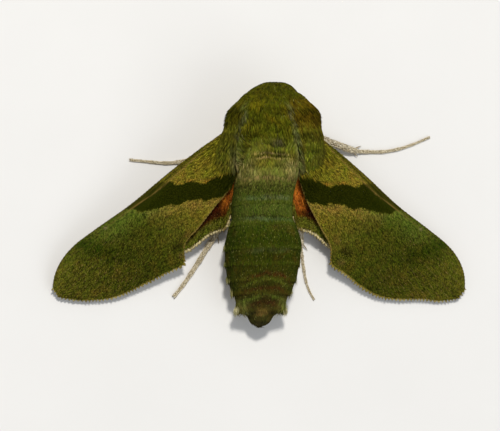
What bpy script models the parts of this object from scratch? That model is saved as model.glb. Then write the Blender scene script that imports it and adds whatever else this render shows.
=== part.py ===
"""Green hawk moth at rest, life size: metres, +Z up, head towards -Y, wings spread along X."""

import math

import bpy
import numpy as np

for old in list(bpy.data.objects):
    bpy.data.objects.remove(old, do_unlink=True)

# Lengths below are millimetres. MM turns them into metres.
MM = 0.001
JOINT_GAP = 0.04
FLOOR = 0.0

# The body leans a little to one side of the wings' centre line.
LEAN = 0.045
LEAN_PIVOT = 13.0
LEAN_OFFSET = 0.10
BODY_POWER = 2.25
BODY_AROUND = 26

# Rows: distance from the brow, half width, mid height, rise above it, drop below it.
HEAD_ROWS = (
    (0.02, 0.55, 5.30, 0.60, 0.70),
    (0.30, 1.18, 5.30, 1.05, 1.30),
    (0.62, 1.66, 5.25, 1.42, 1.75),
    (1.00, 2.05, 5.20, 1.75, 2.05),
    (1.45, 2.40, 5.20, 2.05, 2.25),
    (1.90, 2.68, 5.20, 2.30, 2.40),
)
THORAX_ROWS = (
    (1.95, 2.72, 5.20, 2.38, 2.50),
    (2.50, 2.88, 5.20, 2.78, 2.95),
    (3.30, 3.00, 5.20, 3.12, 3.35),
    (4.50, 3.05, 5.20, 3.28, 3.60),
    (6.00, 3.00, 5.05, 3.30, 3.60),
    (7.20, 2.95, 4.80, 3.10, 3.55),
    (8.00, 2.90, 4.55, 2.90, 3.40),
)
ABDOMEN_ROWS = (
    (8.05, 2.88, 4.50, 2.88, 3.38),
    (10.0, 2.86, 4.05, 3.05, 3.30),
    (12.2, 2.80, 3.65, 3.15, 3.72),
    (13.4, 3.22, 3.45, 3.22, 3.64),
    (14.8, 3.52, 3.35, 3.22, 3.54),
    (16.3, 3.48, 3.20, 3.08, 3.34),
    (17.6, 3.25, 3.10, 2.80, 2.75),
    (18.6, 2.95, 3.05, 2.50, 2.40),
    (19.6, 2.45, 2.98, 2.15, 2.00),
    (20.7, 1.95, 2.90, 1.65, 1.55),
)
# The belly rows reach a little under the floor, so that it cuts a small flat there.
# Rear edge of each abdominal ring, and how far its scale fringe stands out at top and side.
RING_EDGES = (9.4, 11.1, 13.0, 15.1, 16.6, 18.0, 19.2, 20.7)
RING_FLARE_TOP = 0.08
RING_FLARE_SIDE = (0.04, 0.04, 0.10, 0.16, 0.16, 0.22, 0.26, 0.52)
TAIL_ROWS = (
    (20.75, 1.62, 2.90, 1.45, 1.40),
    (21.20, 1.45, 2.85, 1.28, 1.25),
    (21.80, 1.12, 2.75, 0.98, 0.98),
    (22.30, 0.72, 2.65, 0.68, 0.68),
    (22.68, 0.28, 2.60, 0.30, 0.30),
)
# Tegula, the furry shoulder flap: distance, centre out from the body, half width, mid height, rise, drop.
TEGULA_ROWS = (
    (1.35, 2.10, 0.60, 5.85, 0.75, 0.60),
    (1.90, 2.35, 1.15, 5.95, 1.30, 0.95),
    (2.70, 2.65, 1.50, 6.00, 1.75, 1.20),
    (4.30, 2.90, 1.70, 6.00, 1.98, 1.25),
    (5.60, 3.10, 1.78, 5.85, 1.85, 1.20),
    (6.70, 3.35, 1.45, 5.65, 1.45, 1.00),
    (7.60, 3.60, 0.80, 5.40, 0.80, 0.70),
)

EYE_CENTRE = (1.27, 1.05, 3.95)
EYE_RADIUS = 0.80

# Wings: plane height at the hinge line and its slope towards the tail and the tip.
WING_THICK = 0.54
WING_HINGE = (3.3, 4.6, 6.0)
WING_FALL_REAR = 0.335
WING_FALL_OUT = 0.02
WING_AXIS = math.radians(41.7)
WING_CAMBER = 0.22
COSTA_ROLL = 0.50
COSTA_ROLL_WIDTH = 0.55
REACH = {"left": 21.35, "right": 21.84}
BREADTH = {"left": 0.88, "right": 1.0}
# Share of the reach, then the offset from the wing's axis, forward edge and rear edge.
FOREWING_FRONT = (
    (0.00, -0.35),
    (0.10, -0.78),
    (0.30, -1.20),
    (0.52, -1.40),
    (0.70, -1.90),
    (0.80, -2.10),
    (0.90, -1.70),
    (0.955, -1.00),
    (1.00, 0.00),
)
FOREWING_REAR = (
    (0.00, 2.00),
    (0.08, 2.91),
    (0.20, 4.30),
    (0.33, 5.22),
    (0.42, 5.85),
    (0.474, 6.86),
    (0.54, 6.58),
    (0.64, 6.35),
    (0.73, 5.75),
    (0.80, 4.66),
    (0.87, 3.30),
    (0.94, 2.15),
    (1.00, 0.60),
)
# Hindwing, in plan: distance out, front edge, rear edge, and its own slope.
HINDWING_FRONT = ((2.2, 7.30), (4.0, 8.20), (7.0, 10.2), (9.5, 12.3), (10.8, 13.8))
HINDWING_REAR = (
    (2.2, 12.9),
    (3.0, 13.15),
    (4.0, 13.40),
    (5.0, 13.78),
    (6.2, 14.70),
    (7.2, 15.25),
    (9.0, 15.10),
    (10.8, 14.30),
)
HINDWING_HEIGHT = 3.75
HINDWING_FALL = 0.315

# Legs: each path runs from the hip to the last toe joint. The two numbers are the path points at
# the knee and at the ankle.
LEG_AROUND = 8
LEG_STEPS = 2
THIGH_RADIUS = 0.42
KNEE_RADIUS = 0.32
SHIN_RADIUS = 0.36
TOE_RADIUS = 0.26
TOE_HEIGHT = 0.22
LEGS = {
    "foreleg_left": (
        ((0.90, 3.1, 3.0), (1.45, 2.6, 2.2), (1.95, 2.8, 2.0), (1.65, 2.15, 1.1), (1.30, 1.6, 0.5),
         (1.0, 1.15, 0.22), (0.75, 0.75, 0.22), (0.55, 0.4, 0.22)), 2, 4),
    "foreleg_right": (
        ((-0.90, 3.1, 3.0), (-1.6, 2.5, 2.1), (-2.35, 2.7, 2.0), (-2.45, 2.1, 1.1), (-2.2, 1.5, 0.5),
         (-1.95, 1.0, 0.22), (-1.7, 0.6, 0.22), (-1.45, 0.25, 0.22)), 2, 4),
    "midleg_left": (
        ((1.3, 5.1, 2.8), (1.9, 4.7, 2.1), (2.65, 4.3, 2.5), (3.6, 4.95, 1.55), (4.75, 5.75, 0.5),
         (6.2, 6.5, 0.22), (7.5, 6.85, 0.22), (8.8, 6.92, 0.22), (10.1, 6.82, 0.22), (11.8, 6.66, 0.22)), 2, 4),
    "midleg_right": (
        ((-1.3, 4.9, 2.8), (-2.8, 4.2, 2.1), (-4.55, 3.75, 2.3), (-6.9, 4.7, 1.35), (-9.2, 5.65, 0.5),
         (-10.7, 5.75, 0.22), (-12.2, 5.72, 0.22), (-13.7, 5.45, 0.22), (-15.2, 4.95, 0.22), (-16.6, 4.35, 0.22)),
        2, 4),
    "hindleg_left": (
        ((1.4, 6.9, 2.6), (2.5, 8.1, 1.9), (3.45, 9.6, 1.8), (3.8, 11.6, 1.15), (4.1, 13.5, 0.5),
         (4.8, 14.7, 0.22), (5.65, 16.05, 0.22), (6.45, 17.25, 0.22), (7.2, 18.3, 0.22), (7.95, 19.2, 0.22)), 2, 4),
    "hindleg_right": (
        ((-1.4, 6.9, 2.6), (-2.5, 8.1, 1.9), (-3.45, 9.8, 1.8), (-3.75, 12.2, 1.15), (-3.95, 14.4, 0.5),
         (-4.15, 15.7, 0.22), (-4.3, 16.9, 0.22), (-4.5, 18.0, 0.22), (-4.8, 18.85, 0.22), (-5.15, 19.5, 0.22)),
        2, 4),
}

# Feelers, folded back under the leading edge of the wings. The path is for the left one.
ANTENNA_PATH = ((1.0, 0.95, 5.45), (2.1, 1.5, 4.75), (2.95, 2.7, 4.4), (3.4, 4.3, 4.2), (4.1, 6.0, 4.0),
                (5.2, 7.4, 3.75), (6.2, 8.5, 3.5))
ANTENNA_RADII = (0.26, 0.26, 0.27, 0.28, 0.29, 0.29, 0.25)
PALP_PATH = ((0.62, 1.2, 3.2), (0.62, 0.45, 3.35), (0.58, 0.12, 3.9), (0.52, 0.10, 4.45))
PALP_RADII = (0.40, 0.46, 0.44, 0.27)

# Surface colours, as red, green, blue shares.
OLIVE = (0.065, 0.068, 0.005)
GREEN = (0.050, 0.068, 0.009)
DARK_GREEN = (0.025, 0.032, 0.003)
WING_GREEN = (0.070, 0.068, 0.009)
ORANGE_BROWN = (0.150, 0.050, 0.006)
CREAM = (0.420, 0.350, 0.230)
EYE_BROWN = (0.030, 0.016, 0.008)
FEELER_TAN = (0.300, 0.220, 0.120)


def finish(name, colour, roughness):
    """One Principled material for one sub-part."""
    made = bpy.data.materials.new(name + "_finish")
    made.use_nodes = True
    shader = made.node_tree.nodes["Principled BSDF"]
    shader.inputs["Base Color"].default_value = (*colour, 1.0)
    shader.inputs["Roughness"].default_value = roughness
    shader.inputs["Metallic"].default_value = 0.0
    made.diffuse_color = (*colour, 1.0)
    return made


def solid(name, points, faces, colour, roughness=0.8, smooth=True):
    """An object from points in millimetres, hung on the moth's own empty."""
    mesh = bpy.data.meshes.new(name)
    mesh.from_pydata((np.asarray(points) * MM).tolist(), [], faces)
    mesh.validate()
    mesh.polygons.foreach_set("use_smooth", [smooth] * len(mesh.polygons))
    mesh.materials.append(finish(name, colour, roughness))
    made = bpy.data.objects.new(name, mesh)
    bpy.context.scene.collection.objects.link(made)
    made.parent = moth
    return made


def cutter(name, points, faces):
    """A hidden body that clears room for a neighbour."""
    made = solid(name, points, faces, DARK_GREEN)
    made.hide_render = True
    made.display_type = "WIRE"
    return made


def clear(part, *cutters):
    """Cuts each hidden body out of the part."""
    for body in cutters:
        cut = part.modifiers.new("clear_" + body.name, "BOOLEAN")
        cut.operation = "DIFFERENCE"
        cut.solver = "EXACT"
        cut.object = body


def through(rows, at):
    """Reads each column of a table at the given distances, along a smooth curve through the rows."""
    table = np.asarray(rows, float)
    at = np.asarray(at, float)
    place = table[:, 0]
    step = np.clip(np.searchsorted(place, at, side="right") - 1, 0, len(place) - 2)
    width = place[step + 1] - place[step]
    share = np.clip((at - place[step]) / width, 0.0, 1.0)
    found = []
    for column in table[:, 1:].T:
        rise = np.diff(column) / np.diff(place)
        slope = np.concatenate(([rise[0]], 0.5 * (rise[1:] + rise[:-1]), [rise[-1]]))
        turning = np.concatenate(([False], rise[1:] * rise[:-1] <= 0.0, [False]))
        slope[turning] = 0.0
        before, after = column[step], column[step + 1]
        cube, square = share**3, share**2
        found.append(
            (2 * cube - 3 * square + 1) * before
            + (cube - 2 * square + share) * width * slope[step]
            + (3 * square - 2 * cube) * after
            + (cube - square) * width * slope[step + 1]
        )
    return np.array(found)


def leaned(points):
    """The body's own sideways lean."""
    points = np.array(points, float)
    points[..., 0] += LEAN_OFFSET + LEAN * (points[..., 1] - LEAN_PIVOT)
    return points


def tube_faces(rings, around):
    """Quads between rings, and a fan at each end round the two last points."""
    first_pole = rings * around
    faces = []
    for ring in range(rings - 1):
        for turn in range(around):
            here = ring * around + turn
            beside = ring * around + (turn + 1) % around
            faces.append((here, here + around, beside + around, beside))
    for turn in range(around):
        after = (turn + 1) % around
        faces.append((first_pole, turn, after))
        last = (rings - 1) * around
        faces.append((first_pole + 1, last + after, last + turn))
    return faces


def with_poles(rings):
    """Points of all the rings, then the middle of the first and of the last."""
    rings = np.asarray(rings)
    return np.concatenate([rings.reshape(-1, 3), [rings[0].mean(axis=0)], [rings[-1].mean(axis=0)]])


def section(y, centre, half_width, middle, rise, drop, grow=0.0, flare=None):
    """One upright superellipse. The flare widens it towards its sides."""
    turn = np.linspace(0.0, 2 * math.pi, BODY_AROUND, endpoint=False)
    across = np.sign(np.cos(turn)) * np.abs(np.cos(turn)) ** (2 / BODY_POWER)
    upward = np.sign(np.sin(turn)) * np.abs(np.sin(turn)) ** (2 / BODY_POWER)
    out = np.zeros_like(turn)
    if flare:
        top, side = flare
        out = top + (side - top) * np.cos(turn) ** 4
    x = centre + (half_width + grow + out) * across
    z = middle + np.where(upward > 0, rise + grow + out, drop + grow) * upward
    return np.stack([x, np.full_like(x, y), z], axis=1)


def body_rings(rows, count, grow=0.0):
    """Evenly spaced sections along a table of body rows."""
    first, last = rows[0][0], rows[-1][0]
    places = np.linspace(first, last, count)
    sizes = through(rows, places)
    if grow:
        places = places + np.where(places == first, -grow, 0) + np.where(places == last, grow, 0)
    centres = np.zeros(count)
    if len(sizes) == 5:
        centres, sizes = sizes[0], sizes[1:]
    return [section(y, centre, *size, grow) for y, centre, size in zip(places, centres, sizes.T)]


def body_part(name, rows, count, colour):
    points = leaned(with_poles(body_rings(rows, count)))
    points[:, 2] = np.maximum(points[:, 2], FLOOR)
    return solid(name, points, tube_faces(count, BODY_AROUND), colour, 0.9)


def body_cutter(name, rows, count):
    points = leaned(with_poles(body_rings(rows, count, JOINT_GAP)))
    return cutter(name, points, tube_faces(count, BODY_AROUND))


def abdomen_shape(grow=0.0):
    """Overlapping rings: each one widens to its rear fringe, and the next starts inside it."""
    start = ABDOMEN_ROWS[0][0]
    rings = []
    for edge, side in zip(RING_EDGES, RING_FLARE_SIDE):
        for share, out in ((0.0, 0.0), (0.5, 0.35), (1.0, 1.0)):
            y = start + share * (edge - start)
            size = through(ABDOMEN_ROWS, [y])[:, 0]
            rings.append(section(y, 0.0, *size, grow, (out * RING_FLARE_TOP, out * side)))
        start = edge + 0.06
    rings[0][:, 1] -= grow
    rings[-1][:, 1] += grow
    points = leaned(with_poles(rings))
    points[:, 2] = np.maximum(points[:, 2], FLOOR - grow)
    return points, tube_faces(len(rings), BODY_AROUND)


def ball(centre, radius, grow=0.0):
    """A round body from stacked circles."""
    rings = []
    for rise in np.linspace(-0.5 * math.pi, 0.5 * math.pi, 11)[1:-1]:
        turn = np.linspace(0.0, 2 * math.pi, 16, endpoint=False)
        reach = (radius + grow) * math.cos(rise)
        rings.append(
            np.stack(
                [
                    centre[0] + reach * np.cos(turn),
                    np.full_like(turn, centre[1] - (radius + grow) * math.sin(rise)),
                    centre[2] + reach * np.sin(turn),
                ],
                axis=1,
            )
        )
    rings = rings[::-1]
    points = with_poles(rings)
    points[-2] = (centre[0], centre[1] - radius - grow, centre[2])
    points[-1] = (centre[0], centre[1] + radius + grow, centre[2])
    return leaned(points), tube_faces(len(rings), 16)


def path_rings(path, radii, around, steps):
    """Rings square to a smooth path through the points, each turned as little as possible."""
    knots = np.arange(len(path), dtype=float)
    places = np.linspace(0.0, knots[-1], (len(path) - 1) * steps + 1)
    rows = [(knot, *point, radius) for knot, point, radius in zip(knots, path, radii)]
    x, y, z, radius = through(rows, places)
    line = np.stack([x, y, z], axis=1)
    along = np.gradient(line, axis=0)
    along /= np.linalg.norm(along, axis=1)[:, None]
    turn = np.linspace(0.0, 2 * math.pi, around, endpoint=False) + math.pi / around
    upright = np.array((0.0, 0.0, 1.0))
    rings = []
    for point, way, size in zip(line, along, radius):
        side = np.cross(way, upright)
        side /= np.linalg.norm(side)
        over = np.cross(side, way)
        rings.append(point + size * (np.cos(turn)[:, None] * side + np.sin(turn)[:, None] * over))
    return np.array(rings), along


def leg(name):
    """Hip to toe as one smooth path, parted at the knee and the ankle by thin cuts."""
    path, knee, ankle = LEGS[name]
    toes = len(path) - 1 - ankle
    radii = [THIGH_RADIUS] * knee + [KNEE_RADIUS] + [SHIN_RADIUS] * (ankle - knee) + [TOE_RADIUS] * toes
    radii[ankle] = 0.30
    rings, along = path_rings(path, radii, LEG_AROUND, LEG_STEPS)
    rings[..., 2] = np.maximum(rings[..., 2], FLOOR)
    parts = {}
    spans = (("femur", 0, knee), ("tibia", knee, ankle), ("tarsus", ankle, len(path) - 1))
    for word, first, last in spans:
        span = rings[first * LEG_STEPS : last * LEG_STEPS + 1].copy()
        span[0] += 0.5 * JOINT_GAP * along[first * LEG_STEPS]
        span[-1] -= 0.5 * JOINT_GAP * along[last * LEG_STEPS]
        span[..., 2] = np.maximum(span[..., 2], FLOOR)
        faces = tube_faces(len(span), LEG_AROUND)
        parts[word] = solid(name + "_" + word, with_poles(span), faces, CREAM, 0.85)
    return parts


def feeler(name, path, radii, sign, colour):
    sided = [(sign * x, y, z) for x, y, z in path]
    rings, _ = path_rings(sided, radii, LEG_AROUND, 3)
    return solid(name, leaned(with_poles(rings)), tube_faces(len(rings), LEG_AROUND), colour, 0.8)


def plate(lower, upper):
    """Closed slab between two grids of points."""
    rows, columns = upper.shape[:2]
    points = np.concatenate([upper.reshape(-1, 3), lower.reshape(-1, 3)])
    under = rows * columns
    faces = []
    for row in range(rows - 1):
        for column in range(columns - 1):
            a = row * columns + column
            b, c, d = a + columns, a + columns + 1, a + 1
            faces.append((a, b, c, d))
            faces.append((under + a, under + d, under + c, under + b))
    border = [column for column in range(columns)]
    border += [row * columns + columns - 1 for row in range(1, rows)]
    border += [(rows - 1) * columns + column for column in range(columns - 2, -1, -1)]
    border += [row * columns for row in range(rows - 2, 0, -1)]
    for here, after in zip(border, border[1:] + border[:1]):
        faces.append((here, after, under + after, under + here))
    return points, faces


def forewing_surface(side):
    """Leaf-shaped plate that falls towards the tail, with its leading edge rolled down."""
    sign = 1 if side == "left" else -1
    share = 1.0 - (1.0 - np.linspace(0.0, 1.0, 25)) ** 1.35
    share = np.sort(np.append(share, 0.474))
    chord = np.array((0.0, 0.04, 0.10, 0.22, 0.40, 0.60, 0.80, 1.0))
    front = through(FOREWING_FRONT, share)[0] * BREADTH[side]
    rear = through(FOREWING_REAR, share)[0] * BREADTH[side]
    out = np.repeat(share[:, None] * REACH[side], len(chord), axis=1)
    back = front[:, None] + (rear - front)[:, None] * chord
    x = WING_HINGE[0] + out * math.cos(WING_AXIS) - back * math.sin(WING_AXIS)
    y = WING_HINGE[1] + out * math.sin(WING_AXIS) + back * math.cos(WING_AXIS)
    z = WING_HINGE[2] - WING_FALL_OUT * (x - WING_HINGE[0]) - WING_FALL_REAR * (y - WING_HINGE[1])
    z += WING_CAMBER * 4 * chord * (1 - chord) * np.minimum(1.0, (1.0 - share[:, None]) * 4)
    from_edge = (rear - front)[:, None] * chord
    inboard = np.minimum(1.0, (1.0 - share[:, None]) * 5)
    z -= COSTA_ROLL * inboard * np.exp(-((from_edge / COSTA_ROLL_WIDTH) ** 2))
    half = 0.5 * WING_THICK
    upper = np.stack([sign * x, y, z + half], axis=2)
    lower = np.stack([sign * x, y, z - half], axis=2)
    return facing_up(lower, upper, sign)


def hindwing_surface(side):
    """Plate under the forewing, its rear edge free beside the abdomen."""
    sign = 1 if side == "left" else -1
    out = np.linspace(HINDWING_FRONT[0][0], HINDWING_FRONT[-1][0], 14)
    chord = np.linspace(0.0, 1.0, 6)
    front = through(HINDWING_FRONT, out)[0]
    rear = through(HINDWING_REAR, out)[0]
    x = np.repeat(out[:, None], len(chord), axis=1)
    y = front[:, None] + (rear - front)[:, None] * chord
    z = HINDWING_HEIGHT - HINDWING_FALL * (y - 8.0)
    half = 0.5 * WING_THICK
    upper = np.stack([sign * x, y, z + half], axis=2)
    lower = np.stack([sign * x, y, z - half], axis=2)
    return facing_up(lower, upper, sign)


def facing_up(lower, upper, sign):
    if sign < 0:
        lower, upper = lower[::-1], upper[::-1]
    return plate(lower, upper)


def mirrored(centre, sign):
    return (sign * centre[0], centre[1], centre[2])


def build_moth():
    thorax_room = body_cutter("thorax_room", THORAX_ROWS, 11)
    abdomen_room = cutter("abdomen_room", *abdomen_shape(JOINT_GAP))
    body_part("thorax", THORAX_ROWS, 12, OLIVE)
    solid("abdomen", *abdomen_shape(), GREEN, 0.9)
    body_part("tail_tuft", TAIL_ROWS, 6, DARK_GREEN)
    head = body_part("head", HEAD_ROWS, 9, OLIVE)
    head_room = body_cutter("head_room", HEAD_ROWS, 9)
    trunk_room = body_cutter("trunk_room", HEAD_ROWS + THORAX_ROWS[1:], 19)
    for side, sign in (("left", 1), ("right", -1)):
        centre = mirrored(EYE_CENTRE, sign)
        solid("eye_" + side, *ball(centre, EYE_RADIUS), EYE_BROWN, 0.15)
        eye_room = cutter("eye_room_" + side, *ball(centre, EYE_RADIUS, JOINT_GAP))
        clear(head, eye_room)
        rows = [(row[0], sign * row[1], *row[2:]) for row in TEGULA_ROWS]
        flap = body_part("tegula_" + side, rows, 9, OLIVE)
        clear(flap, trunk_room)
        flap_room = body_cutter("tegula_room_" + side, rows, 9)
        wing = solid("forewing_" + side, *forewing_surface(side), WING_GREEN, 0.85)
        clear(wing, thorax_room, abdomen_room, flap_room)
        under = solid("hindwing_" + side, *hindwing_surface(side), ORANGE_BROWN, 0.85)
        clear(under, thorax_room, abdomen_room)
        antenna = feeler("antenna_" + side, ANTENNA_PATH, ANTENNA_RADII, sign, FEELER_TAN)
        clear(antenna, head_room, thorax_room)
        palp = feeler("palp_" + side, PALP_PATH, PALP_RADII, sign, OLIVE)
        clear(palp, head_room, eye_room)
    for name in LEGS:
        clear(leg(name)["femur"], thorax_room, abdomen_room)


def settle():
    """Moves the empty so that the moth's box is centred over the origin and stands on the floor."""
    bpy.context.view_layer.update()
    graph = bpy.context.evaluated_depsgraph_get()
    corners = []
    for part in moth.children:
        if not part.hide_render:
            shape = part.evaluated_get(graph)
            corners += [shape.matrix_world @ vertex.co for vertex in shape.data.vertices]
    corners = np.array(corners)
    low, high = corners.min(axis=0), corners.max(axis=0)
    moth.location = (-0.5 * (low[0] + high[0]), -0.5 * (low[1] + high[1]), -low[2])
    bpy.context.view_layer.update()


moth = bpy.data.objects.new("hawk_moth", None)
bpy.context.scene.collection.objects.link(moth)
build_moth()
settle()
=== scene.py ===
import math

import bpy
import mathutils
import numpy as np
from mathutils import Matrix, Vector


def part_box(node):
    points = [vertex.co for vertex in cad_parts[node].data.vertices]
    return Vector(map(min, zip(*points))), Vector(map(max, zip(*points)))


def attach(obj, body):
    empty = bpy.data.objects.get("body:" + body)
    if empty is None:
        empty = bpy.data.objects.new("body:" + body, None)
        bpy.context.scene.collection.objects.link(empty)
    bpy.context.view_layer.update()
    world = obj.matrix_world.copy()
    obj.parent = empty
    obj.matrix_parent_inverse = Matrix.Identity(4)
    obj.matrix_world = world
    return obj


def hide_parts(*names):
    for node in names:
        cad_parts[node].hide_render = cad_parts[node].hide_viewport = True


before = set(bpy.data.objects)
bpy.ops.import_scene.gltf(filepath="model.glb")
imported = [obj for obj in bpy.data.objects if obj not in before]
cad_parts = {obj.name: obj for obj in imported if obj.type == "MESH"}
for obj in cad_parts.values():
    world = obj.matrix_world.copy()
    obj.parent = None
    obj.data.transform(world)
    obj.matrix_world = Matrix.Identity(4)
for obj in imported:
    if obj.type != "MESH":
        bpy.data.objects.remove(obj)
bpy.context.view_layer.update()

chance = np.random.default_rng(4131)

# Lengths are millimetres from the moth's brow, with x to its left, y to its tail and z up.
mm = 0.001
lean = {"slope": 0.045, "pivot": 13.0, "offset": 0.10}  # the body leans off the wings' middle line
eye = {"out": 1.27, "back": 1.05, "high": 3.95, "radius": 0.80}


def leanAt(back):
    return lean["offset"] + lean["slope"] * (back - lean["pivot"])


def middleX(node):
    low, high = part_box(node)
    return 0.5 * (low[0] + high[0]) / mm


# Where the brow's own origin lies in the frame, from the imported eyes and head.
shift = np.array((leanAt(eye["back"]) - 0.5 * (middleX("eye_left") + middleX("eye_right")),
                  0.02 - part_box("head")[0][1] / mm, 0.0))


# A smooth curve through a table's rows: cubics whose slopes are the mean of the steps on either side,
# and level where the values turn.
def through(rows, at):
    table = np.asarray(rows, float)
    place = table[:, 0]
    at = np.clip(np.asarray(at, float), place[0], place[-1])
    step = np.clip(np.searchsorted(place, at, side="right") - 1, 0, len(place) - 2)
    width = place[step + 1] - place[step]
    share = (at - place[step]) / width
    cube, square = share**3, share**2
    found = []
    for column in table[:, 1:].T:
        rise = np.diff(column) / np.diff(place)
        slope = np.concatenate(([rise[0]], 0.5 * (rise[1:] + rise[:-1]), [rise[-1]]))
        slope[np.concatenate(([False], rise[1:] * rise[:-1] <= 0.0, [False]))] = 0.0
        found.append((2 * cube - 3 * square + 1) * column[step] + (cube - 2 * square + share) * width * slope[step]
                     + (3 * square - 2 * cube) * column[step + 1] + (cube - square) * width * slope[step + 1])
    return np.array(found)


def unit(vectors):
    return vectors / np.maximum(np.linalg.norm(vectors, axis=-1, keepdims=True), 1e-9)


def ease(low, high, value):
    share = np.clip((value - low) / (high - low), 0.0, 1.0)
    return share * share * (3 - 2 * share)


# A smooth field from -1 to 1 that wanders over about the given length: five sine waves in chance directions.
def wander(points, length, seed):
    draw = np.random.default_rng(seed)
    waves = unit(draw.normal(size=(5, points.shape[-1]))) * (2 * np.pi / length) * draw.uniform(0.6, 1.4, (5, 1))
    return np.sin(points @ waves.T + draw.uniform(0, 6.28, 5)).mean(axis=-1) * 1.6


# ---- meshes ----
# Points in millimetres and sheets of faces become one object at the origin. place is what its markings
# are read from, growth is a tuft's own chance value, the share from root to tip and a second chance value.
def makePiece(name, points, sheets, finish, slot, nodes=(), place=None, growth=None, bakeMap=None):
    sizes = np.concatenate([np.full(len(sheet), sheet.shape[1]) for sheet in sheets])
    loops = np.concatenate([sheet.reshape(-1) for sheet in sheets])
    mesh = bpy.data.meshes.new(name)
    mesh.vertices.add(len(points))
    mesh.vertices.foreach_set("co", ((points - shift) * mm).astype(np.float32).reshape(-1))
    mesh.loops.add(len(loops))
    mesh.loops.foreach_set("vertex_index", loops.astype(np.int32))
    mesh.polygons.add(len(sizes))
    mesh.polygons.foreach_set("loop_start", np.concatenate(([0], np.cumsum(sizes)[:-1])).astype(np.int32))
    mesh.polygons.foreach_set("loop_total", sizes.astype(np.int32))
    mesh.polygons.foreach_set("use_smooth", np.ones(len(sizes), bool))
    for word, values in (("place", place), ("growth", growth)):
        if values is not None:
            store = mesh.attributes.new(word, "FLOAT_VECTOR", "POINT")
            store.data.foreach_set("vector", values.astype(np.float32).reshape(-1))
    if bakeMap is not None:
        layer = mesh.uv_layers.new(name="OFBake")
        layer.data.foreach_set("uv", bakeMap[loops].astype(np.float32).reshape(-1))
    mesh.update(calc_edges=True)
    mesh.materials.append(finish)
    piece = bpy.data.objects.new(name, mesh)
    bpy.context.scene.collection.objects.link(piece)
    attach(piece, "root")
    if nodes:
        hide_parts(*nodes)
    return piece


# Faces of a closed skin: a grid whose second axis runs round, and a pole at each end of the first.
def wrapped(grid):
    rows, around = grid.shape[:2]
    number = np.arange(rows * around).reshape(rows, around)
    beside = np.roll(number, -1, axis=1)
    quads = np.stack([number[:-1], number[1:], beside[1:], beside[:-1]], axis=-1).reshape(-1, 4)
    start = np.stack([np.full(around, rows * around), number[0], beside[0]], axis=1)
    end = np.stack([np.full(around, rows * around + 1), beside[-1], number[-1]], axis=1)
    return [quads, np.concatenate([start, end])]


def withPoles(grid):
    return np.concatenate([grid.reshape(-1, grid.shape[-1]), [grid[0].mean(0)], [grid[-1].mean(0)]])


def makeSkin(name, grid, place, finish, slot, nodes):
    return makePiece(name, withPoles(grid), wrapped(grid), finish, slot, nodes, withPoles(place))


# Several small closed skins joined in one piece.
def makeSkins(name, grids, finish, slot, nodes=()):
    points, quads, ends, first = [], [], [], 0
    for grid in grids:
        sheets = wrapped(grid)
        points.append(withPoles(grid))
        quads.append(sheets[0] + first)
        ends.append(sheets[1] + first)
        first += len(points[-1])
    points = np.concatenate(points)
    return makePiece(name, points, [np.concatenate(quads), np.concatenate(ends)], finish, slot, nodes, points)


# Rings square to a smooth line through the points: line + radius x (cos t x side + sin t x over).
def tube(path, radii, around, steps, squash=1.0):
    knots = np.arange(len(path), dtype=float)
    places = np.linspace(0.0, knots[-1], (len(path) - 1) * steps + 1)
    line = through(np.column_stack([knots, path]), places).T
    radius = np.interp(places, np.linspace(0.0, knots[-1], len(radii)), radii)
    way = unit(np.gradient(line, axis=0))
    side = unit(np.cross(way, (0.0, 0.0, 1.0)))
    over = np.cross(side, way) * squash
    turn = np.linspace(0.0, 2 * np.pi, around, endpoint=False)[:, None]
    ring = np.cos(turn) * side[:, None] + np.sin(turn) * over[:, None]
    return line[:, None] + radius[:, None, None] * ring


# ---- tufts ----
# A form's points are (share from root to tip, across from -0.5 to 0.5, height from 0 to 1).
def makeForm(points, sheets):
    points = np.array(points, float)
    sheets = [np.array(sheet) for sheet in sheets]
    volume = sum(np.sum(np.cross(points[sheet[:, 0]], points[sheet[:, step]]) * points[sheet[:, step + 1]])
                 for sheet in sheets for step in range(1, sheet.shape[1] - 1))
    return points, [sheet[:, ::-1] if volume < 0 else sheet for sheet in sheets]


# Three-sided strand: triangles at the given shares, each as wide as given, drawn out to a point.
def strandForm(rings):
    points = [(share, across * width, height * width) for share, width in rings
              for across, height in ((-0.5, 0.0), (0.5, 0.0), (0.0, 1.0))] + [(1.0, 0.0, 0.2)]
    sides = [(3 * row + k, 3 * row + (k + 1) % 3, 3 * row + 3 + (k + 1) % 3, 3 * row + 3 + k)
             for row in range(len(rings) - 1) for k in range(3)]
    last = 3 * (len(rings) - 1)
    ends = [(2, 1, 0)] + [(last + k, last + (k + 1) % 3, last + 3) for k in range(3)]
    return makeForm(points, [sides, ends])


lockForm = strandForm(((0.0, 0.7), (0.38, 1.0), (0.74, 0.62)))
hairForm = strandForm(((0.0, 0.8), (0.5, 1.0)))
vaneForm = makeForm(((0, 0, 0), (0.55, -0.5, 0), (1.0, 0.0, 0.0), (0.55, 0.5, 0), (0.45, 0, 1)),
                    [[(0, 3, 2, 1)], [(0, 1, 4), (1, 2, 4), (2, 3, 4), (3, 0, 4)]])
# Paddle-shaped scale: narrow stalk, blunt toothed end, a low ridge in the middle.
scaleForm = makeForm(((0, 0, 0), (0.45, -0.5, 0), (0.96, -0.42, 0), (1.0, 0.0, 0.1), (0.94, 0.42, 0), (0.45, 0.5, 0),
                      (0.6, 0, 1)),
                     [[(0, 5, 4, 3, 2, 1)], [(0, 1, 6), (1, 2, 6), (2, 3, 6), (3, 4, 6), (4, 5, 6), (5, 0, 6)]])


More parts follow.
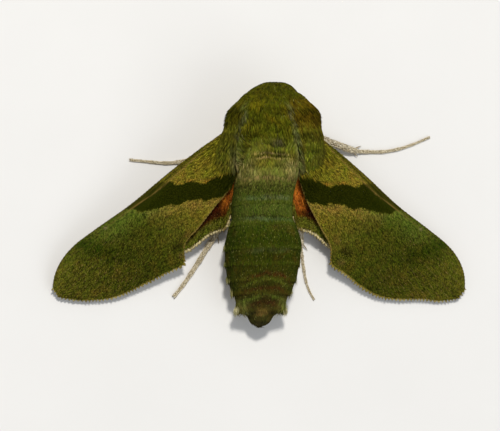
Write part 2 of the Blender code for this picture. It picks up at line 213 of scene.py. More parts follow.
# Chance places on a closed skin, drawn evenly by area times weight, each with its own frame there.
def scatter(grid, place, count, weight=None):
    closed = np.concatenate([grid, grid[:, :1]], axis=1)
    marks = np.concatenate([place, place[:, :1]], axis=1)
    rows, columns = closed.shape[0] - 1, closed.shape[1] - 1
    down, across = closed[1:, :-1] - closed[:-1, :-1], closed[:-1, 1:] - closed[:-1, :-1]
    share = np.linalg.norm(np.cross(down, across), axis=-1)
    if weight is not None:
        share = share * np.concatenate([weight, weight[:, :1]], axis=1)[:-1, :-1]
    total = np.cumsum(share.reshape(-1))
    drawn = (np.arange(count) + chance.random(count)) / count * total[-1]
    cell = np.minimum(np.searchsorted(total, drawn), rows * columns - 1)
    i, j = cell // columns, cell % columns
    s, t = chance.random(count)[:, None], chance.random(count)[:, None]

    def read(field):
        return ((1 - s) * (1 - t) * field[i, j] + s * (1 - t) * field[i + 1, j]
                + (1 - s) * t * field[i, j + 1] + s * t * field[i + 1, j + 1])
    along = unit(closed[i + 1, j] - closed[i, j])
    up = unit(np.cross(along, closed[i, j + 1] - closed[i, j]))
    return {"root": read(closed), "along": along, "up": up, "across": np.cross(up, along), "place": read(marks),
            "map": np.column_stack([(j + t[:, 0]) / columns, (i + s[:, 0]) / rows]), "chance": chance.random((count, 2))}


def joinSpots(groups):
    return {word: np.concatenate([group[word] for group in groups]) for word in groups[0]}


# Each tuft is root + length x (share x ahead + bend x share^2 x up) + width x across + thick x height.
def tuftArrays(spots, ahead, form, length, width, thick, bend):
    shape, sheets = form
    count, corners = len(spots["root"]), len(shape)
    ahead = unit(ahead)
    side = unit(np.cross(spots["up"], ahead))
    over = np.cross(ahead, side)
    share, across, height = shape[:, 0][None, :, None], shape[:, 1][None, :, None], shape[:, 2][None, :, None]
    length, width, thick, bend = (np.broadcast_to(value, count)[:, None, None] for value in (length, width, thick, bend))
    points = (spots["root"][:, None] + ahead[:, None] * length * share + side[:, None] * width * across
              + over[:, None] * (thick * height + bend * length * share**2))
    first = (np.arange(count) * corners)[:, None, None]
    faces = [(sheet[None] + first).reshape(-1, sheet.shape[1]) for sheet in sheets]
    patch = np.clip(spots["map"], 0.003, 0.997)[:, None] + 0.003 * np.stack([shape[:, 1], shape[:, 0] - 0.5], axis=1)[None]
    growth = np.stack([np.broadcast_to(spots["chance"][:, :1], (count, corners)),
                       np.broadcast_to(shape[:, 0], (count, corners)),
                       np.broadcast_to(spots["chance"][:, 1:], (count, corners))], axis=-1)
    place = np.broadcast_to(spots["place"][:, None], (count, corners, 3))
    return points.reshape(-1, 3), faces, place.reshape(-1, 3), growth.reshape(-1, 3), patch.reshape(-1, 2)


def makeCoat(name, spots, ahead, form, length, width, thick, bend, finish, slot):
    points, faces, place, growth, patch = tuftArrays(spots, ahead, form, length, width, thick, bend)
    points[:, 2] = np.maximum(points[:, 2], 0.004)
    piece = makePiece(name, points, faces, finish, slot, (), place, growth, patch)
    print("coat", name, len(spots["root"]), "tufts,", sum(len(f) * (f.shape[1] - 2) for f in faces), "triangles")
    return piece


# ---- finishes ----
# One socket of a material. Sums on it add Math nodes.
class Value:
    def __init__(self, recipe, socket):
        self.recipe = recipe
        self.socket = socket

    def __add__(self, other): return self.recipe.maths("ADD", self, other)
    def __radd__(self, other): return self.recipe.maths("ADD", other, self)
    def __sub__(self, other): return self.recipe.maths("SUBTRACT", self, other)
    def __rsub__(self, other): return self.recipe.maths("SUBTRACT", other, self)
    def __mul__(self, other): return self.recipe.maths("MULTIPLY", self, other)
    def __rmul__(self, other): return self.recipe.maths("MULTIPLY", other, self)
    def __truediv__(self, other): return self.recipe.maths("DIVIDE", self, other)
    def __neg__(self): return self.recipe.maths("MULTIPLY", self, -1.0)
    def __abs__(self): return self.recipe.maths("ABSOLUTE", self)
    def __pow__(self, other): return self.recipe.maths("POWER", self, other)


# One material under construction.
class Recipe:
    def __init__(self, name):
        self.material = bpy.data.materials.new(name)
        self.material.use_nodes = True
        self.tree = self.material.node_tree
        self.tree.nodes.clear()

    # A node of the given type: its settings first, then the values or links of its sockets.
    def add(self, kind, settings=None, inputs=None, output=0):
        node = self.tree.nodes.new("ShaderNode" + kind)
        for word, value in (settings or {}).items():
            if word == "stops":
                stops = node.color_ramp.elements
                stops.remove(stops[1])
                for number, (position, colour) in enumerate(value):
                    stop = stops.new(position) if number else stops[0]
                    stop.position = position
                    stop.color = colour
            elif word == "knots":
                points = node.mapping.curves[0].points
                points[0].location = value[0]
                points[-1].location = value[-1]
                for here, there in value[1:-1]:
                    points.new(here, there)
                node.mapping.update()
            else:
                setattr(node, word, value)
        for word, value in (inputs or {}).items():
            if isinstance(value, Value):
                self.tree.links.new(value.socket, node.inputs[word])
            else:
                node.inputs[word].default_value = value
        return Value(self, node.outputs[output]) if node.outputs else None

    def maths(self, operation, *values):
        return self.add("Math", {"operation": operation}, dict(enumerate(values)))

    def axes(self, vector):
        first = self.add("SeparateXYZ", {}, {0: vector})
        outputs = first.socket.node.outputs
        return first, Value(self, outputs[1]), Value(self, outputs[2])

    def attribute(self, word):
        return self.add("Attribute", {"attribute_name": word}, {}, "Vector")

    def bodyPlace(self):  # millimetres from the brow, from the object's own coordinates
        own = self.add("TexCoord", {}, {}, "Object")
        return self.add("VectorMath", {"operation": "MULTIPLY_ADD"},
                        {0: own, 1: (1 / mm,) * 3, 2: tuple(shift)})

    def grey(self, value):
        return self.add("CombineColor", {}, {0: value, 1: value, 2: value})

    def mix(self, share, first, second, way="MIX"):
        return self.add("Mix", {"data_type": "RGBA", "blend_type": way, "clamp_factor": True},
                        {0: share, 6: first, 7: second}, 2)

    def step(self, low, high, value):  # 0 below low, 1 above high, eased between
        return self.add("MapRange", {"interpolation_type": "SMOOTHSTEP"},
                        {"Value": value, "From Min": low, "From Max": high})

    def line(self, away, half):  # 1 where away is 0, falling smoothly to 0 at the half width
        return 1.0 - self.step(0.0, half, abs(away))

    def noise(self, vector, scale, detail=2.0, rough=0.5):
        return self.add("TexNoise", {}, {"Vector": vector, "Scale": scale, "Detail": detail, "Roughness": rough})

    # Noise drawn out along one axis: 0 to 1, with the given number of waves per millimetre each way.
    def streaks(self, vector, waves):
        drawn = self.add("VectorMath", {"operation": "MULTIPLY"}, {0: vector, 1: waves})
        return self.step(0.30, 0.70, self.noise(drawn, 1.0, 2.0, 0.6))

    def ramp(self, value, stops):
        return self.add("ValToRGB", {"stops": stops}, {0: value})

    # A smooth curve through (input, output) knots, with outputs between 0 and 1.
    def curve(self, value, knots):
        low, high = knots[0][0], knots[-1][0]
        placed = [((here - low) / (high - low), there) for here, there in knots]
        return self.add("FloatCurve", {"knots": placed}, {"Value": (value - low) / (high - low)})

    def finish(self, colour, roughness, bump=None, relief=0.05, specular=0.05, coat=0.0):
        inputs = {"Base Color": colour, "Roughness": roughness, "Specular IOR Level": specular, "Coat Weight": coat}
        if bump is not None:
            inputs["Normal"] = self.add("Bump", {}, {"Strength": 0.8, "Distance": relief * mm, "Height": bump})
        shader = self.add("BsdfPrincipled", {}, inputs)
        self.add("OutputMaterial", {}, {"Surface": shader})
        return self.material


# A colour from its red, green and blue on the usual 0 to 255 scale, made linear.
def paint(*levels):
    return tuple(level / 255 / 12.92 if level < 10.3 else ((level / 255 + 0.055) / 1.055) ** 2.4
                 for level in levels) + (1.0,)


greener, browner = (0.82, 1.06, 0.75, 1.0), (1.30, 0.97, 1.42, 1.0)


def flecked(recipe, colour, spot, tint, streak, second, bright, strength=1.0, few=0.10):
    light = 1.0 + strength * (1.5 * (tint - 0.5) + 1.1 * (streak - 0.5))
    even = recipe.mix(1.0, colour, recipe.grey(recipe.maths("MAXIMUM", light, 0.30)), "MULTIPLY")
    patch = recipe.step(0.28, 0.72, recipe.noise(spot, 1.1, 3.0, 0.65))
    hue = recipe.mix(0.45 * patch + 0.55 * second, greener, browner)
    some = recipe.mix(1.0, even, hue, "MULTIPLY")
    return recipe.mix(recipe.step(few, 0.4 * few, second) * 0.60, some, bright)


# ---- camera, light and floor ----
stand = {"target": (0.0, 11.0, 2.0), "aim": (-1.076, -0.929), "lean": (math.tan(math.radians(11.4)),
         math.tan(math.radians(5.0)), 1.0), "roll": -0.9, "distance": 200.0, "width": 46.0, "film": 36.0}


def aimAt(name, data, place, back, up):
    piece = bpy.data.objects.new(name, data)
    bpy.context.scene.collection.objects.link(piece)
    back = unit(np.array(back, float))
    up = unit(np.array(up, float) - np.dot(up, back) * back)
    right = np.cross(up, back)
    turn = np.eye(4)
    turn[:3, :4] = np.column_stack([right, up, back, (np.array(place) - shift) * mm])
    piece.matrix_world = mathutils.Matrix(turn.tolist())
    return piece, right, up


def makeCamera():
    back = unit(np.array(stand["lean"]))
    up = unit(np.array((0.0, -1.0, 0.0)) + back[1] * back)
    right = np.cross(up, back)
    roll = math.radians(stand["roll"])
    right, up = right * math.cos(roll) + up * math.sin(roll), up * math.cos(roll) - right * math.sin(roll)
    target = np.array(stand["target"]) + stand["aim"][0] * right + stand["aim"][1] * up
    data = bpy.data.cameras.new("camera")
    data.sensor_width = stand["film"]
    data.lens = stand["film"] * stand["distance"] / stand["width"]
    data.clip_start = 0.005
    data.clip_end = 20.0
    camera = aimAt("camera", data, target + stand["distance"] * back, back, up)[0]
    bpy.context.scene.camera = camera


lamps = {
    "key": {"from": (0.08, -0.34, 0.94), "far": 420.0, "size": 46.0, "energy": 1.45, "colour": (1.0, 0.97, 0.92)},
    "fill": {"from": (-0.55, 0.70, 0.90), "far": 450.0, "size": 320.0, "energy": 0.42, "colour": (0.93, 0.97, 1.0)},
}


def makeLight():
    for name, lamp in lamps.items():
        data = bpy.data.lights.new(name, "AREA")
        data.size = lamp["size"] * mm
        data.energy = lamp["energy"]
        data.color = lamp["colour"]
        back = unit(np.array(lamp["from"]))
        aimAt(name, data, np.array(stand["target"]) + lamp["far"] * back, back, (0.0, 1.0, 0.3))
    world = bpy.data.worlds.new("studio")
    world.use_nodes = True
    world.node_tree.nodes["Background"].inputs["Color"].default_value = (0.90, 0.94, 1.0, 1.0)
    world.node_tree.nodes["Background"].inputs["Strength"].default_value = 0.42
    bpy.context.scene.world = world
    bpy.context.scene.view_settings.view_transform = "Standard"


def makeFloor():
    recipe = Recipe("paleFloor")
    own = recipe.add("TexCoord", {}, {}, "Object")
    colour = recipe.mix(recipe.noise(own, 90.0, 4.0), (0.70, 0.69, 0.67, 1.0), (0.74, 0.73, 0.71, 1.0))
    half = 3.0
    mesh = bpy.data.meshes.new("floor")
    mesh.from_pydata([(-half, -half, 0), (half, -half, 0), (half, half, 0), (-half, half, 0)], [], [(0, 1, 2, 3)])
    mesh.materials.append(recipe.finish(colour, 0.85, specular=0.1))
    floor = bpy.data.objects.new("floor", mesh)
    bpy.context.scene.collection.objects.link(floor)


makeCamera()
makeLight()
makeFloor()
print("camera, light and floor made")


# ---- trunk: head, chest, belly and tail under one skin ----
trunk = {
    "power": 2.25,
    "along": 240,
    "around": 160,
    # y, half width, height of the middle, rise above it, drop below it
    "rows": ((0.02, 0.70, 5.30, 0.60, 0.70), (0.30, 1.42, 5.30, 1.08, 1.30), (0.62, 1.98, 5.25, 1.48, 1.75),
             (1.00, 2.42, 5.20, 1.82, 2.05), (1.45, 2.72, 5.20, 2.10, 2.25), (1.90, 2.86, 5.20, 2.36, 2.40),
             (2.50, 2.88, 5.20, 2.78, 2.95), (3.30, 3.00, 5.20, 3.12, 3.35), (4.50, 3.05, 5.20, 3.28, 3.60),
             (6.00, 3.00, 5.05, 3.27, 3.60), (7.20, 2.95, 4.80, 3.08, 3.55), (8.05, 2.98, 4.50, 3.06, 3.38),
             (10.0, 2.88, 4.05, 3.05, 3.30), (12.2, 2.80, 3.65, 3.15, 3.72), (13.4, 3.22, 3.45, 3.22, 3.64),
             (14.8, 3.52, 3.35, 3.22, 3.54), (16.3, 3.48, 3.20, 3.08, 3.34), (17.6, 3.25, 3.10, 2.80, 2.75),
             (18.6, 2.95, 3.05, 2.50, 2.40), (19.6, 2.45, 2.98, 2.15, 2.00), (20.7, 1.95, 2.90, 1.65, 1.55),
             (21.2, 1.45, 2.85, 1.28, 1.25), (21.8, 1.12, 2.75, 0.98, 0.98), (22.3, 0.72, 2.65, 0.68, 0.68),
             (22.68, 0.28, 2.60, 0.30, 0.30)),
    # shoulder covers: y, distance out, half width, height of the middle, rise, drop
    "shoulders": ((0.80, 1.70, 0.05, 5.60, 0.05, 0.05), (1.15, 1.92, 0.60, 5.75, 0.70, 0.60),
                  (1.90, 2.28, 1.12, 5.95, 1.30, 0.95), (2.70, 2.65, 1.50, 6.00, 1.75, 1.20),
                  (4.30, 2.90, 1.70, 6.00, 1.90, 1.25), (5.60, 3.10, 1.72, 5.75, 1.60, 1.10),
                  (6.50, 3.36, 1.50, 5.46, 1.12, 0.90), (7.20, 3.62, 1.12, 5.22, 0.68, 0.60),
                  (8.05, 3.95, 0.05, 4.98, 0.05, 0.05)),
    "blend": 11.0,
    # rear edges of the belly's rings, and how far each stands out at the side
    "rings": ((9.4, 0.02), (11.1, 0.03), (13.0, 0.06), (15.1, 0.09), (16.6, 0.10), (18.0, 0.13), (19.2, 0.18),
              (20.7, 0.52)),
    "ringTop": 0.008,
    "jowl": 0.24,
    "close": 21.36,
    "waist": {"aside": 0.33, "at": 11.0, "over": 2.3},  # the waist bends to one side by this much
    # y, depth of the coat over the skin
    "depth": ((0.0, 0.16), (1.0, 0.22), (2.0, 0.30), (5.0, 0.36), (8.0, 0.32), (10.0, 0.20), (19.0, 0.18),
              (21.0, 0.26), (22.7, 0.20)),
}


# The seam beside each shoulder cover: its distance out at two places along y, and how the chest's middle leans.
seam = {"near": 1.60, "far": 3.0, "from": 0.8, "to": 6.8, "tilt": 0.17, "level": 5.2, "aside": 0.45}


def seamGap(x, y, z):  # how far out past the seam a place lies
    middle = seam["aside"] + seam["tilt"] * (z - seam["level"])
    return np.abs(x - middle) - seam["near"] - (seam["far"] - seam["near"]) * ease(seam["from"], seam["to"], y)


# Rays from the middle line meet superellipses (|x|/w)^p + (|z|/h)^p = 1. The shoulder covers are two more,
# and the skin is where the soft minimum of the three measures passes 1 for the last time.
def trunkRadius(back, turn):
    width, middle, rise, drop = through(trunk["rows"], back)[:, :, None]
    cosine, sine = np.cos(turn)[None], np.sin(turn)[None]
    power, sharp = trunk["power"], trunk["blend"]
    width = width * (1 - trunk["jowl"] * ease(2.2, 1.3, back)[:, None] * ease(0.1, -0.5, sine))
    height = np.where(sine > 0, rise, drop)
    radius = ((np.abs(cosine) / width) ** power + (np.abs(sine) / height) ** power) ** (-1 / power)
    near = (back > 0.82) & (back < 8.03)
    reach = np.linspace(0.0, 7.0, 141)[None, None]
    out, half, level, over, under = through(trunk["shoulders"], back[near])[:, :, None, None]
    total = np.exp(-sharp * reach / radius[near][..., None])
    for side in (1, -1):
        across = (reach * cosine[..., None] - side * out) / half
        high = middle[near][..., None] + reach * sine[..., None] - level
        measure = (np.abs(across) ** power + np.abs(high / np.where(high > 0, over, under)) ** power) ** (1 / power)
        total = total + np.exp(-sharp * np.minimum(measure, 40.0))
    total = -np.log(total) / sharp
    last = 139 - np.argmax((total < 1.0)[..., -2::-1], axis=2)
    inner = np.take_along_axis(total, last[..., None], 2)[..., 0]
    outer = np.take_along_axis(total, last[..., None] + 1, 2)[..., 0]
    radius[near] = 0.05 * (last + np.clip((1.0 - inner) / np.maximum(outer - inner, 1e-6), 0, 1))
    for _ in range(3):
        radius = 0.5 * radius + 0.25 * (np.roll(radius, 1, 1) + np.roll(radius, -1, 1))
    start = 8.05
    for edge, side in trunk["rings"]:
        share = np.where((back > start) & (back <= edge), (back - start) / (edge - start), 0.0)
        out = np.interp(share, (0.0, 0.5, 1.0), (0.0, 0.35, 1.0))[:, None]
        radius += out * np.where(sine > -0.4, trunk["ringTop"] + (side - trunk["ringTop"]) * cosine**6, 0.0)
        start = edge
    return radius, middle


def trunkGrid():
    share = np.linspace(0.0, 1.0, trunk["along"])
    back = 0.12 + 21.95 * (share - 0.06 * np.sin(2 * np.pi * share))
    turn = np.linspace(0.0, 2 * np.pi, trunk["around"], endpoint=False)
    radius, middle = trunkRadius(back, turn)
    closing = np.sqrt(np.clip(1 - (np.maximum(back - trunk["close"], 0) / 0.73) ** 2, 0, 1))[:, None]
    radius = np.maximum((radius - through(trunk["depth"], back)[0][:, None]) * closing, 0.05)
    x = radius * np.cos(turn)
    y = np.broadcast_to(back[:, None], x.shape)
    crease = np.exp(-((y - 5.9 + 0.06 * x * x) / 0.25) ** 2) * ease(2.1, 1.3, np.abs(x - 0.4)) * (np.sin(turn) > 0)
    lift = 1 - 0.016 * crease
    z = np.maximum(middle + radius * np.sin(turn) * lift, 0.10)
    waist = trunk["waist"]
    aside = waist["aside"] * np.exp(-((y - waist["at"]) / waist["over"]) ** 2) - 0.20 * ease(1.3, 0.1, y)
    return np.stack([x + leanAt(y) + aside, y, z], axis=2), np.stack([x, y, z], axis=2)


# Colour along the trunk from brow to tail; its last stop is raised over the tail's own dark green as painted light on
# the end, which faces away from the lamps.
trunkPaints = (
    (0.00, paint(53, 54, 4)), (0.10, paint(60, 63, 5)), (0.20, paint(75, 80, 10)), (0.31, paint(86, 88, 28)),
    (0.35, paint(88, 94, 33)), (0.385, paint(80, 82, 30)), (0.43, paint(64, 72, 20)), (0.50, paint(73, 85, 26)),
    (0.59, paint(53, 65, 7)), (0.67, paint(47, 56, 3)), (0.77, paint(54, 56, 9)), (0.86, paint(47, 46, 11)),
    (1.0, paint(54, 52, 18)),
)
# Cross bands and arcs over the body: y, half width, strength, bend with x^2, colour.
chestBands = ((5.00, 0.16, 0.45, -0.12, paint(34, 30, 4)), (5.50, 0.18, 0.60, -0.10, paint(28, 24, 4)),
              (6.72, 0.12, 0.75, 0.02, paint(152, 136, 74)), (6.94, 0.12, 0.60, 0.02, paint(40, 32, 8)),
              (7.15, 0.12, 0.80, 0.02, paint(152, 134, 74)))
bellyBands = ((8.62, 0.30, 0.55, 0.03, paint(122, 104, 60)), (10.55, 0.38, 0.36, 0.0, paint(98, 114, 76)),
              (12.45, 0.30, 0.32, 0.0, paint(92, 112, 78)), (15.2, 0.4, 0.20, 0.0, paint(98, 112, 70)),
              (12.15, 0.16, 0.70, 0.02, paint(34, 30, 8)), (14.95, 0.20, 0.15, 0.1, paint(64, 34, 8)),
              (17.30, 0.30, 1.00, 0.14, paint(66, 43, 11)), (17.85, 0.26, 0.75, 0.14, paint(80, 92, 24)),
              (18.50, 0.32, 1.00, 0.14, paint(62, 40, 11)), (19.2, 0.26, 0.75, 0.14, paint(82, 92, 28)),
              (19.85, 0.34, 0.95, 0.14, paint(52, 32, 10)))


# Markings of the trunk: bands along y, bent into arcs by x^2, with the shoulder covers and the pale belly.
# Some of it is painted shade and light: the darker belly sides, and the lighter rears of the covers and of the tail
# end.
def trunkColour(recipe, tint, second, wide, reach):
    spot = recipe.attribute("place")
    x, y, z = recipe.axes(spot)
    chest = recipe.step(0.9, 2.1, y) * recipe.step(8.4, 7.4, y)
    middle = (seam["aside"] + seam["tilt"] * (z - seam["level"])) * recipe.step(9.0, 6.0, y)
    across = x - middle
    out = abs(across)
    sway = (recipe.noise(spot, 1.1, 3.0, 0.6) - 0.5) * 0.7
    broken = recipe.step(0.30, 0.60, recipe.noise(spot, 1.7, 2.0, 0.6))
    streak = recipe.streaks(spot, (4.2, 1.0, 4.2))
    streak = 0.5 + (streak - 0.5) * (1.0 - 0.45 * recipe.step(8.5, 10.0, y))
    bent = y + sway
    colour = recipe.ramp(y / 23.0, trunkPaints)
    # The belly's sides are darker: painted shade where they turn away from the light.
    colour = recipe.mix(recipe.step(1.9, 3.3, out) * recipe.step(8.0, 10.0, y) * 0.8, colour, paint(32, 42, 4))
    edge = out - seam["near"] - (seam["far"] - seam["near"]) * recipe.step(seam["from"], seam["to"], y)
    cover = recipe.step(-0.1, 0.45, edge + 0.4 * sway) * chest
    front = recipe.mix(recipe.step(-0.5, 0.5, x), paint(68, 60, 5), paint(58, 59, 5))
    # Towards their rear the covers take the wing base's yellow-green and are painted lighter still: partly their own
    # colour, partly painted light against the shade where they slope away from the lamps.
    shoulder = recipe.mix(recipe.step(2.8, 6.6, y + 0.6 * sway), front, paint(104, 107, 27))
    colour = recipe.mix(cover, colour, shoulder)
    grain = recipe.step(0.35, 0.60, recipe.noise(spot, 2.6, 2.0, 0.6))
    border = recipe.line(edge + 0.5 * sway, 0.42) * chest * recipe.step(1.6, 3.0, y) * grain
    colour = recipe.mix(border * 0.45, colour, paint(98, 104, 66))
    inner = recipe.step(2.0, 1.4, out)
    yellow = recipe.step(0.50, 0.66, recipe.noise(spot, 0.9, 2.0, 0.5)) * chest * recipe.step(-0.1, -0.5, edge)
    colour = recipe.mix(yellow * 0.35, colour, paint(96, 88, 8))
    for place, half, strength, bend, shade in chestBands:
        still = 0.0 if place < 6.0 else 1.0  # the two pale lines and the dark one between them wander less
        wave = y + sway * (1.0 - 0.65 * still) + reach * still
        gaps = 1.0 - 0.5 * (1.0 - broken)
        if still:
            inner = recipe.step(1.9, 1.2, abs(x - 0.25))
        band = recipe.line(wave - place - bend * out * out, half) * inner * gaps
        colour = recipe.mix(band * strength, colour, shade)
    for place, half, strength, bend, shade in bellyBands:
        gaps = 1.0 - (0.4 if place > 17.0 else 0.8) * (1.0 - broken)
        band = recipe.line(bent - place - bend * x * x, half) * recipe.step(2.7, 1.5, abs(x)) * gaps
        colour = recipe.mix(band * strength, colour, shade)
    rust = recipe.step(0.50, 0.66, recipe.noise(spot, 0.8, 3.0, 0.6)) * recipe.step(11.8, 13.6, y)
    colour = recipe.mix(rust * 0.35, colour, paint(68, 52, 12))
    fans = recipe.step(6.5, 7.2, y) * recipe.step(8.9, 8.0, y) * recipe.step(0.7, 1.9, out) * streak * (1.0 - cover)
    colour = recipe.mix(fans * 0.5, colour, paint(132, 124, 74))
    blue = recipe.line(y - 5.35, 0.5) * recipe.line(across + 0.9, 0.9)
    colour = recipe.mix(blue * 0.22, colour, paint(100, 108, 78))
    tuft = recipe.line(y - 20.75, 0.55) * recipe.line(x - 0.15, 1.0) * recipe.step(2.8, 3.4, z)
    colour = recipe.mix(tuft * 0.75, colour, paint(120, 98, 44))
    flare = recipe.line(y - 20.3, 1.1) * recipe.step(0.9, 2.0, abs(x)) * streak
    colour = recipe.mix(flare * 0.6, colour, paint(128, 136, 60))
    # The tail's end is painted lighter: partly its own colour, partly painted light where it faces away from the lamps.
    colour = recipe.mix(recipe.step(21.2, 21.8, y) * 0.5, colour, paint(60, 58, 28))
    colour = flecked(recipe, colour, spot, tint, streak, second, paint(146, 142, 74),
                     wide * (1.0 - 0.3 * recipe.step(9.0, 11.0, y)), 0.07)
    belly = recipe.step(0.3, -1.0, z - 2.6 + 0.25 * sway) * recipe.step(22.4, 20.0, y)
    breast = recipe.step(0.4, -0.6, z - 3.9 + 0.25 * sway) * recipe.step(8.6, 7.4, y)
    pale = recipe.mix(recipe.step(0.2, 0.8, 0.5 * tint + 0.5 * streak), paint(116, 94, 54), paint(186, 166, 118))
    return recipe.mix(recipe.maths("MAXIMUM", belly, breast) * 0.9, colour, pale)


def trunkFinish(name, onSkin):
    recipe = Recipe(name)
    if onSkin:
        spot = recipe.attribute("place")
        tint = recipe.step(0.30, 0.70, recipe.noise(spot, 6.0, 3.0, 0.7))
        second = recipe.step(0.25, 0.75, recipe.noise(spot, 9.0, 2.0, 0.6))
        # The skin under the fur is darkened: painted shade beneath the coat.
        colour = recipe.mix(0.35, trunkColour(recipe, tint, second, 0.7, 0.0), paint(24, 24, 6))
        return recipe.finish(colour, 0.85, recipe.noise(spot, 9.0, 3.0, 0.7), 0.08)
    tint, along, second = recipe.axes(recipe.attribute("growth"))
    colour = trunkColour(recipe, tint, second, 1.0, 0.75 * along)
    # Each hair is darker at its root than at its tip: painted shade deep in the coat.
    shadedRoots = recipe.mix(1.0, colour, recipe.grey(0.62 + 0.66 * along), "MULTIPLY")
    return recipe.finish(shadedRoots, 0.75, specular=0.04)


trunkSkinFinish = trunkFinish("trunkSkin", True)
furFinish = trunkFinish("trunkFur", False)
body, bodyPlace = trunkGrid()
makeSkin("trunk_skin", body, bodyPlace, trunkSkinFinish, "olive_fur",
         ("head", "thorax", "abdomen", "tail_tuft", "tegula_left", "tegula_right"))
print("trunk skin made")

# Coats of the trunk: how many tufts, where along y, where round the body, and the tufts' size in mm.
trunkCoats = {
    "head_fur": {"count": 9500, "from": 0.1, "to": 2.6, "upper": 1, "length": (0.40, 0.72), "width": 0.095,
                 "rise": 0.20, "bend": -0.08, "form": hairForm},
    "chest_fur": {"count": 12000, "from": 2.1, "to": 9.2, "upper": 1, "length": (0.60, 1.05), "width": 0.105,
                  "rise": 0.16, "bend": -0.08, "form": hairForm},
    "shoulder_fur": {"count": 12000, "from": 1.2, "to": 7.7, "upper": 2, "length": (0.65, 1.15), "width": 0.11,
                     "rise": 0.14, "bend": -0.10, "form": hairForm},
    "breast_fur": {"count": 4500, "from": 0.2, "to": 8.5, "upper": -1, "length": (0.60, 1.00), "width": 0.11,
                   "rise": 0.22, "bend": -0.06, "form": hairForm},
    "belly_fur": {"count": 4500, "from": 8.3, "to": 20.8, "upper": -1, "length": (0.40, 0.60), "width": 0.12,
                  "rise": 0.05, "bend": -0.05, "form": hairForm},
    "ring_scales": {"count": 26000, "from": 8.3, "to": 20.9, "upper": 1, "length": (0.26, 0.44), "width": 0.085,
                    "rise": 0.09, "bend": -0.06, "form": vaneForm},
    "tail_fur": {"count": 4500, "from": 19.9, "to": 22.2, "upper": 0, "length": (0.40, 0.75), "width": 0.085,
                 "rise": 0.06, "bend": -0.10, "form": hairForm},
}


# 1 where a coat grows: a stretch of y, then the upper side, the shoulder covers, the under side or all round.
def coatWeight(coat, place):
    x, y, z = place[..., 0], place[..., 1], place[..., 2]
    stretch = ease(coat["from"] - 0.3, coat["from"] + 0.3, y) * ease(coat["to"] + 0.5, coat["to"] - 0.5, y)
    level = np.where(y < 8.5, 4.3, 2.9) - 0.6 * ease(19.0, 21.0, y)
    cover = ease(-0.10, 0.10, seamGap(x, y, z)) * ease(1.4, 2.0, y) * ease(8.0, 7.5, y) * ease(4.2, 4.8, z)
    above = ease(-0.8, 0.2, z - level)
    return stretch * {0: 1.0, 1: above * (1 - cover), 2: cover, -1: 1 - above}[coat["upper"]] + 1e-6


# Fur lies to the tail. On the chest it is combed in towards the middle before the crease, and on the
# shoulder covers it fans out along the wings.
def growTrunkCoat(name, coat):
    spots = scatter(body, bodyPlace, coat["count"], coatWeight(coat, bodyPlace))
    place, own = spots["place"], spots["chance"]
    x, y, z = place[:, :1], place[:, 1:2], place[:, 2:]
    loose = ease(9.0, 8.0, y)
    leaf = 1.0 if coat["upper"] == 2 else 0.0
    comb = wander(place, 1.4, 7)[:, None] * (0.16 + 0.24 * loose) * (1 - 0.65 * leaf)
    comb = comb + (own[:, 1:] - 0.5) * (0.30 + 0.30 * loose)
    fan = leaf * (0.10 + 0.85 * ease(2.5, 8.0, y)) + (1 - leaf) * 0.10 * ease(0.5, 2.5, np.abs(x)) * ease(9.0, 6.0, y)
    whorl = -0.35 * ease(4.2, 5.4, y) * ease(6.5, 5.9, y) * ease(0.2, 0.9, np.abs(x)) * (1 - leaf)
    turn = np.sign(x) * (fan + whorl) * ease(4.6, 5.4, z)
    ahead = spots["along"] + comb * spots["across"] + spots["up"] * (coat["rise"] * (0.6 + 0.8 * own[:, :1]))
    ahead = ahead + turn * np.array((1.0, 0.0, 0.0))
    short, long = coat["length"]
    length = (short + (long - short) * own[:, 1]) * (0.5 + 0.5 * ease(0.0, 2.6, place[:, 1]))
    length = length * (1 + 0.10 * leaf * ease(4.5, 7.0, place[:, 1]))
    length = length * (1 - 0.45 * (coat["from"] < 8.0) * ease(7.6, 9.2, place[:, 1]))
    width = coat["width"] * (0.75 + 0.5 * own[:, 0])
    makeCoat(name, spots, ahead, coat["form"], length, width, 0.45 * width, coat["bend"], furFinish, "olive_fur")


for name, coat in trunkCoats.items():
    growTrunkCoat(name, coat)


# Ring fringes: a row of longer strands at each ring's rear edge, and pale tufts at its two sides.
fringeRings = {"tufts": 420, "width": 0.075, "sideTufts": 80}


def growRingFringes():
    groups, lengths, pales = [], [], []
    for edge, stand in trunk["rings"]:
        y = bodyPlace[..., 1]
        near = np.exp(-((y - edge + 0.22) / 0.13) ** 2)
        above = ease(1.2, 2.2, bodyPlace[..., 2])
        row = scatter(body, bodyPlace, fringeRings["tufts"], near * above)
        wide = np.exp(-((y - edge + 0.30) / 0.20) ** 2)
        side = scatter(body, bodyPlace, int(fringeRings["sideTufts"] * stand / 0.16),
                       wide * np.exp(-((bodyPlace[..., 2] - 2.85) / 0.40) ** 2) * ease(1.0, 1.6, np.abs(bodyPlace[..., 0])))
        groups += [row, side]
        lengths += [row["chance"][:, 0] * 0.18 + 0.26, side["chance"][:, 0] * 0.30 + 0.34 + 0.5 * stand]
        pales += [np.zeros(len(row["root"])), np.ones(len(side["root"]))]
    spots, length, pale = joinSpots(groups), np.concatenate(lengths), np.concatenate(pales)[:, None]
    spots["place"] = np.column_stack([spots["place"][:, 0], spots["place"][:, 1], pale])
    outward = spots["up"] * np.where(pale > 0, 0.42, 0.07) * (0.6 + 0.8 * spots["chance"][:, 1:])
    ahead = spots["along"] + outward + spots["across"] * (spots["chance"][:, :1] - 0.5) * 0.4
    width = (fringeRings["width"] - 0.025 * pale[:, 0]) * (0.7 + 0.6 * spots["chance"][:, 1])
    makeCoat("ring_fringes", spots, ahead, hairForm, length, width, 0.5 * width, -0.03, ringFinish(), "green_scales")


